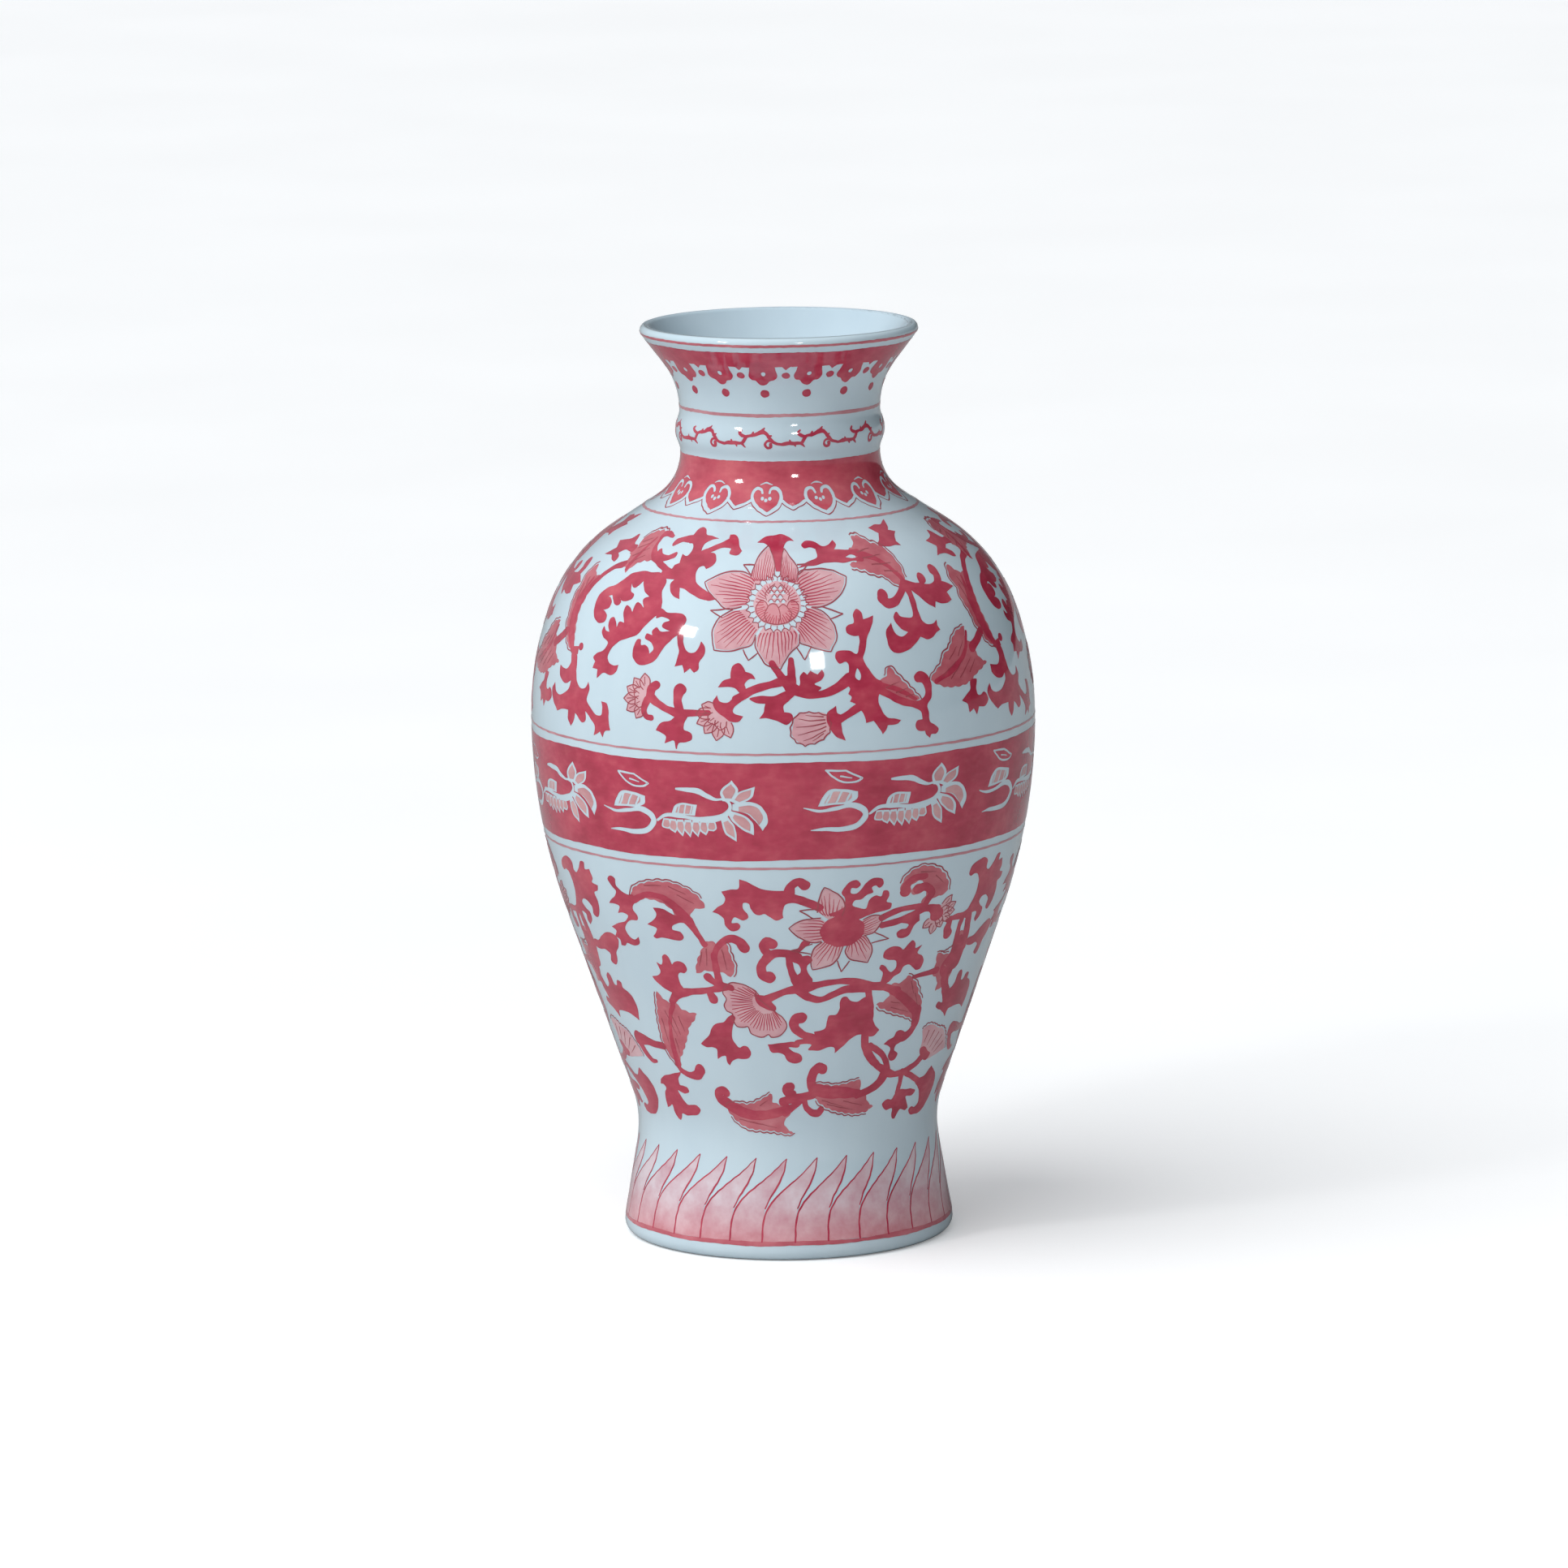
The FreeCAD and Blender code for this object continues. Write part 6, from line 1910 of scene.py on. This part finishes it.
BAND = Zone(low=183.6, high=230.2, girth_radius=110.2, repeats=1)
MOTIF_TURNS = (-45.3, 4.3, 50.2, 94.3, 138.4, 182.5, 226.6, 270.6)     # degrees, brushed by eye
MOTIF_RISES = (0.0, 3.3, 3.3, 1.6, 0.4, 2.1, 3.0, 1.2)                 # mm
TOUCHED_SHARE = 0.68    # how much of a motif's part the pink covers


def dragon_strokes():
    """The plain bare strokes of one motif: a hook, a long crested stroke and a small outlined leaf."""
    hook = [(0, 205.3), (3.3, 203.8), (7.3, 204.6), (10.8, 205.8), (13.3, 204.2), (14.3, 201.5),
            (13.5, 198.5), (11.8, 196.2), (8.3, 195.3), (4.3, 195.6), (1.6, 195.2)]
    long_stroke = [(15.3, 201.6), (17.5, 204.1), (20.8, 204.1), (24.7, 203.3), (28.6, 203.3), (31.8, 205.4),
                   (33.1, 208.5), (32.8, 211), (31.5, 212.3), (29.9, 212.3), (27.9, 213.5), (26, 215.4),
                   (23.4, 216), (20.5, 216)]
    little_leaf = [(5.1, 221.6, TIP), (9.6, 221, TIP), (13.4, 217.4, TIP), (12, 216.1), (8.6, 216.4),
                   (6.6, 218.8)]
    return (
        BAND.line(hook, [0.5, 1.3, 1.6, 1.8, 2.6, 2.8, 2.4, 2.4, 2.2, 1.6, 0.4])
        + BAND.line(long_stroke, [1, 1.8, 1.8, 1.6, 2, 2.8, 3, 2.2, 1.2, 1, 2.2, 2.6, 2.2, 1])
        + all_shapes(around_edge(leaf, 0.9) for leaf in BAND.shape(little_leaf))
        + BAND.line([(8.4, 218.8), (11, 217.8)], [0.8, 0.4])
    )


def dragon_parts():
    """The parts of one motif that are touched in: fin, comb, tail feathers and fringe."""
    fin = [(3.2, 205.8, TIP), (4.9, 211.6), (6.5, 213.3), (9.1, 213.1), (12.4, 211.8, TIP), (12.2, 208.5),
           (10.6, 206.6, TIP)]
    feathers = [
        [(31.4, 211.5, TIP), (30.9, 215.8), (33.6, 221, TIP), (35, 216.6), (33.8, 211.5, TIP)],
        [(33.2, 211.6, TIP), (35, 215.6), (38.8, 218.2, TIP), (38.2, 213.6), (34.8, 210, TIP)],
        [(33.6, 210.4, TIP), (37.7, 211.6), (40.4, 209), (41.6, 203.5), (40.4, 198.6, TIP), (38.9, 202.6),
         (36.6, 206.4), (33.6, 207.6, TIP)],
        [(33.2, 207.4, TIP), (36, 205.8), (38.2, 202), (38.3, 196.6, TIP), (35.8, 199), (33.6, 202.6),
         (32.6, 205.2, TIP)],
        [(32.4, 204.8, TIP), (34, 200.6), (34.4, 193.6, TIP), (31.8, 197), (30.8, 203.4, TIP)],
    ]
    fringe = []
    for x, y in ((17.2, 198), (18.9, 196.2), (20.7, 195), (22.6, 194.6), (24.5, 195), (26.4, 196),
                 (28.3, 197.8)):
        fringe.append([(x - 0.4, 202.6, TIP), (x - 0.8, 198.6), (x + 0.8, y, TIP), (x + 1.5, 199),
                       (x + 1.2, 202.6, TIP)])
    comb = [(19, 204.6, TIP), (19.8, 208.4), (21.4, 209.9), (25.4, 209.6, TIP), (24.8, 204.6, TIP)]
    return all_shapes(BAND.shape(part) for part in [fin, comb] + feathers + fringe)


def fin_stripes():
    """Bare strokes across the fin and the comb."""
    stripes = []
    for step in range(3):
        stripes += BAND.line([(5 + 2.2 * step, 206.4), (6.6 + 2.2 * step, 212.6)], [0.8, 1, 0.8])
        stripes += BAND.line([(20.6 + 1.5 * step, 205), (21.2 + 1.5 * step, 209.6)], [0.7, 0.7])
    return stripes


def round_band(shapes):
    """The eight motifs, each where its brush-drawn turn and rise put it."""
    placed = []
    for turn, rise in zip(MOTIF_TURNS, MOTIF_RISES):
        shift = np.array([turn * BAND.mm_per_degree, rise])
        placed += [shape + shift for shape in shapes]
    return BAND.repeated(placed)


def paint_belly_band():
    """The red band round the belly with its eight bare motifs, touched in with pink."""
    parts = dragon_parts()
    bare = round_band(dragon_strokes() + parts)
    pinks = round_band([shrunk(part, TOUCHED_SHARE) for part in parts])
    lines = round_band(fin_stripes())
    red = ring(BAND, 185.2, 228.4, waver=0.22)
    enamel("belly_band_dragons", BAND, red, RED, RED_LIFT, bare, "painted_belly_band")
    enamel("belly_band_pink", BAND, pinks, DUSTY_PINK, PINK_LIFT, lines)


paint_belly_band()


# ---------------------------------------------------------------- foot leaves

FOOT = Zone(low=8.3, high=48.0, girth_radius=68.6, repeats=31)
FOOT_LEFT = [(2.2, 8.8), (2.4, 16), (3.6, 22), (6.6, 27.4), (11.4, 32.8), (17, 38.4), (22.6, 45)]
FOOT_RIGHT = [(14.7, 23), (16.6, 28), (19.2, 33), (21.4, 38.6), (22.6, 45)]


def foot_leaf_lines():
    """The two sides of one flame-shaped leaf; its right side starts from the next leaf's left side."""
    return (
        FOOT.line(FOOT_LEFT, [0.75, 0.8, 0.6, 0.4])
        + FOOT.line(FOOT_RIGHT, [0.5, 0.8, 0.7, 0.4])
    )


def foot_leaf_fill():
    """One flame-shaped leaf, its wash running on to the next leaf's side."""
    return FOOT.shape([
        (*FOOT_LEFT[0], TIP), *FOOT_LEFT[1:-1], (*FOOT_LEFT[-1], TIP), *FOOT_RIGHT[-2::-1], (13.9, 16),
        (13.8, 8.8, TIP),
    ])


def paint_foot():
    """The ring of leaves round the foot."""
    enamel("foot_leaves_pink", FOOT, FOOT.repeated(foot_leaf_fill()), FOOT_WASH, PINK_LIFT)
    enamel("foot_leaves_rose", FOOT, FOOT.repeated(foot_leaf_lines()), RED, RED_LIFT)


paint_foot()


# ---------------------------------------------------------------- studio

CAMERA_DISTANCE = 3.724      # metres from the axis, along -Y
CAMERA_HEIGHT = 0.847
CAMERA_PITCH = -9.854 * DEG
CAMERA_ROLL = -0.66 * DEG
LENS = 195.8                 # mm
SENSOR = 36.0                # mm, the sensor's width
AIM_HEIGHT = 0.27            # metres, where the softboxes point
FLOOR_REACH = 30.0           # metres from the middle to the floor's edges
FLOOR_GLOW = 0.20
SKY_TINT = (0.90, 0.95, 1.0, 1.0)
BACKDROP_TINT = (0.95, 0.97, 0.98, 1.0)


def add_floor():
    """A wide floor with a soft sheen: white to the camera, greyer to the vase, and greyest in its glaze, a
    painted shade that darkens the vase wherever its glaze mirrors the floor.
    """
    mesh = bpy.data.meshes.new("floor")
    far = FLOOR_REACH
    mesh.from_pydata([(-far, -far, 0), (far, -far, 0), (far, far, 0), (-far, far, 0)], [], [(0, 1, 2, 3)])
    shader = Shader("pale_floor")
    shade = shader.noise(3.0, detail=2.0)
    path = shader.add("ShaderNodeLightPath")
    seen, mirrored = path.outputs["Is Camera Ray"], path.outputs["Is Glossy Ray"]
    bounced = shader.ramp(shade, (0.3, grey(0.73)), (0.7, grey(0.76)))
    # painted shade: the floor as the glaze mirrors it is dark grey, which darkens the vase where it reflects
    # the floor
    painted_shade_reflected = shader.ramp(shade, (0.3, grey(0.36)), (0.7, grey(0.38)))
    pale = shader.ramp(shade, (0.3, grey(0.90)), (0.7, grey(0.93)))
    shader.colour(shader.mixed(shader.mixed(bounced, painted_shade_reflected, mirrored), pale, seen))
    shader.glow(seen, FLOOR_GLOW)
    shader.gloss(0.55)
    mesh.materials.append(shader.material)
    added("floor", mesh)


def direction(azimuth, elevation):
    """The way from the vase to a light; azimuth 0 is in front, positive to the right."""
    turn, rise = azimuth * DEG, elevation * DEG
    return Vector((math.sin(turn) * math.cos(rise), -math.cos(turn) * math.cos(rise), math.sin(rise)))


def light_from(data, away):
    """A light that shines from the given direction."""
    light = added(data.name, data)
    light.rotation_euler = (-away).to_track_quat("-Z", "Y").to_euler()
    return light


def add_softbox(name, azimuth, elevation, distance, size, power):
    """A small rectangular light, which the glaze mirrors as a bright spot."""
    data = bpy.data.lights.new(name, "AREA")
    data.shape = "RECTANGLE"
    data.size, data.size_y = size
    data.energy = power
    away = direction(azimuth, elevation)
    light_from(data, away).location = Vector((0, 0, AIM_HEIGHT)) + away * distance


def add_key(azimuth, elevation, strength, softness):
    """Broad soft light from the upper left that is not mirrored in the glaze."""
    data = bpy.data.lights.new("key", "SUN")
    data.energy = strength
    data.angle = softness * DEG
    light_from(data, direction(azimuth, elevation)).visible_glossy = False


def graded(nodes, links, source, bounds, strengths):
    """A value that runs between two strengths as the source runs between two bounds."""
    node = nodes.new("ShaderNodeMapRange")
    node.inputs["From Min"].default_value, node.inputs["From Max"].default_value = bounds
    node.inputs["To Min"].default_value, node.inputs["To Max"].default_value = strengths
    links.new(source, node.inputs["Value"])
    return node.outputs["Result"]


def sky_strength(nodes, links, left, right, top):
    """Light that fades from left to right, plus light that grows towards straight above."""
    direction = nodes.new("ShaderNodeTexCoord")
    parts = nodes.new("ShaderNodeSeparateXYZ")
    links.new(direction.outputs["Generated"], parts.inputs["Vector"])
    both = nodes.new("ShaderNodeMath")
    links.new(graded(nodes, links, parts.outputs["X"], (-1.0, 0.6), (left, right)), both.inputs[0])
    links.new(graded(nodes, links, parts.outputs["Z"], (0.35, 1.0), (0.0, top)), both.inputs[1])
    return both.outputs["Value"]


def add_world(left, right, top):
    """Pale light all round, and a plain backdrop that only the camera sees."""
    world = bpy.data.worlds.new("studio")
    world.use_nodes = True
    nodes, links = world.node_tree.nodes, world.node_tree.links
    sky = nodes["Background"]
    sky.inputs["Color"].default_value = SKY_TINT
    links.new(sky_strength(nodes, links, left, right, top), sky.inputs["Strength"])
    backdrop = nodes.new("ShaderNodeBackground")
    backdrop.inputs["Color"].default_value = BACKDROP_TINT
    seen = nodes.new("ShaderNodeLightPath")
    mix = nodes.new("ShaderNodeMixShader")
    links.new(seen.outputs["Is Camera Ray"], mix.inputs["Fac"])
    links.new(sky.outputs["Background"], mix.inputs[1])
    links.new(backdrop.outputs["Background"], mix.inputs[2])
    links.new(mix.outputs["Shader"], nodes["World Output"].inputs["Surface"])
    bpy.context.scene.world = world


def add_camera():
    """The long-lens camera, slightly above and looking down."""
    data = bpy.data.cameras.new("camera")
    data.lens = LENS
    data.sensor_width = SENSOR
    data.clip_end = 100.0
    camera = added("camera", data)
    camera.location = (0, -CAMERA_DISTANCE, CAMERA_HEIGHT)
    tilt = Matrix.Rotation(math.pi / 2 + CAMERA_PITCH, 3, "X")
    camera.rotation_euler = (tilt @ Matrix.Rotation(CAMERA_ROLL, 3, "Z")).to_euler()
    bpy.context.scene.camera = camera


bpy.context.scene.view_settings.view_transform = "Standard"
add_floor()
add_key(azimuth=-52.0, elevation=56.0, strength=1.88, softness=56.0)
add_softbox("left_softbox", azimuth=-49.7, elevation=30.7, distance=1.6, size=(0.20, 0.16), power=4.5)
add_softbox("right_softbox", azimuth=16.5, elevation=21.7, distance=1.9, size=(0.20, 0.17), power=3.6)
add_world(left=0.52, right=0.0, top=0.48)
add_camera()
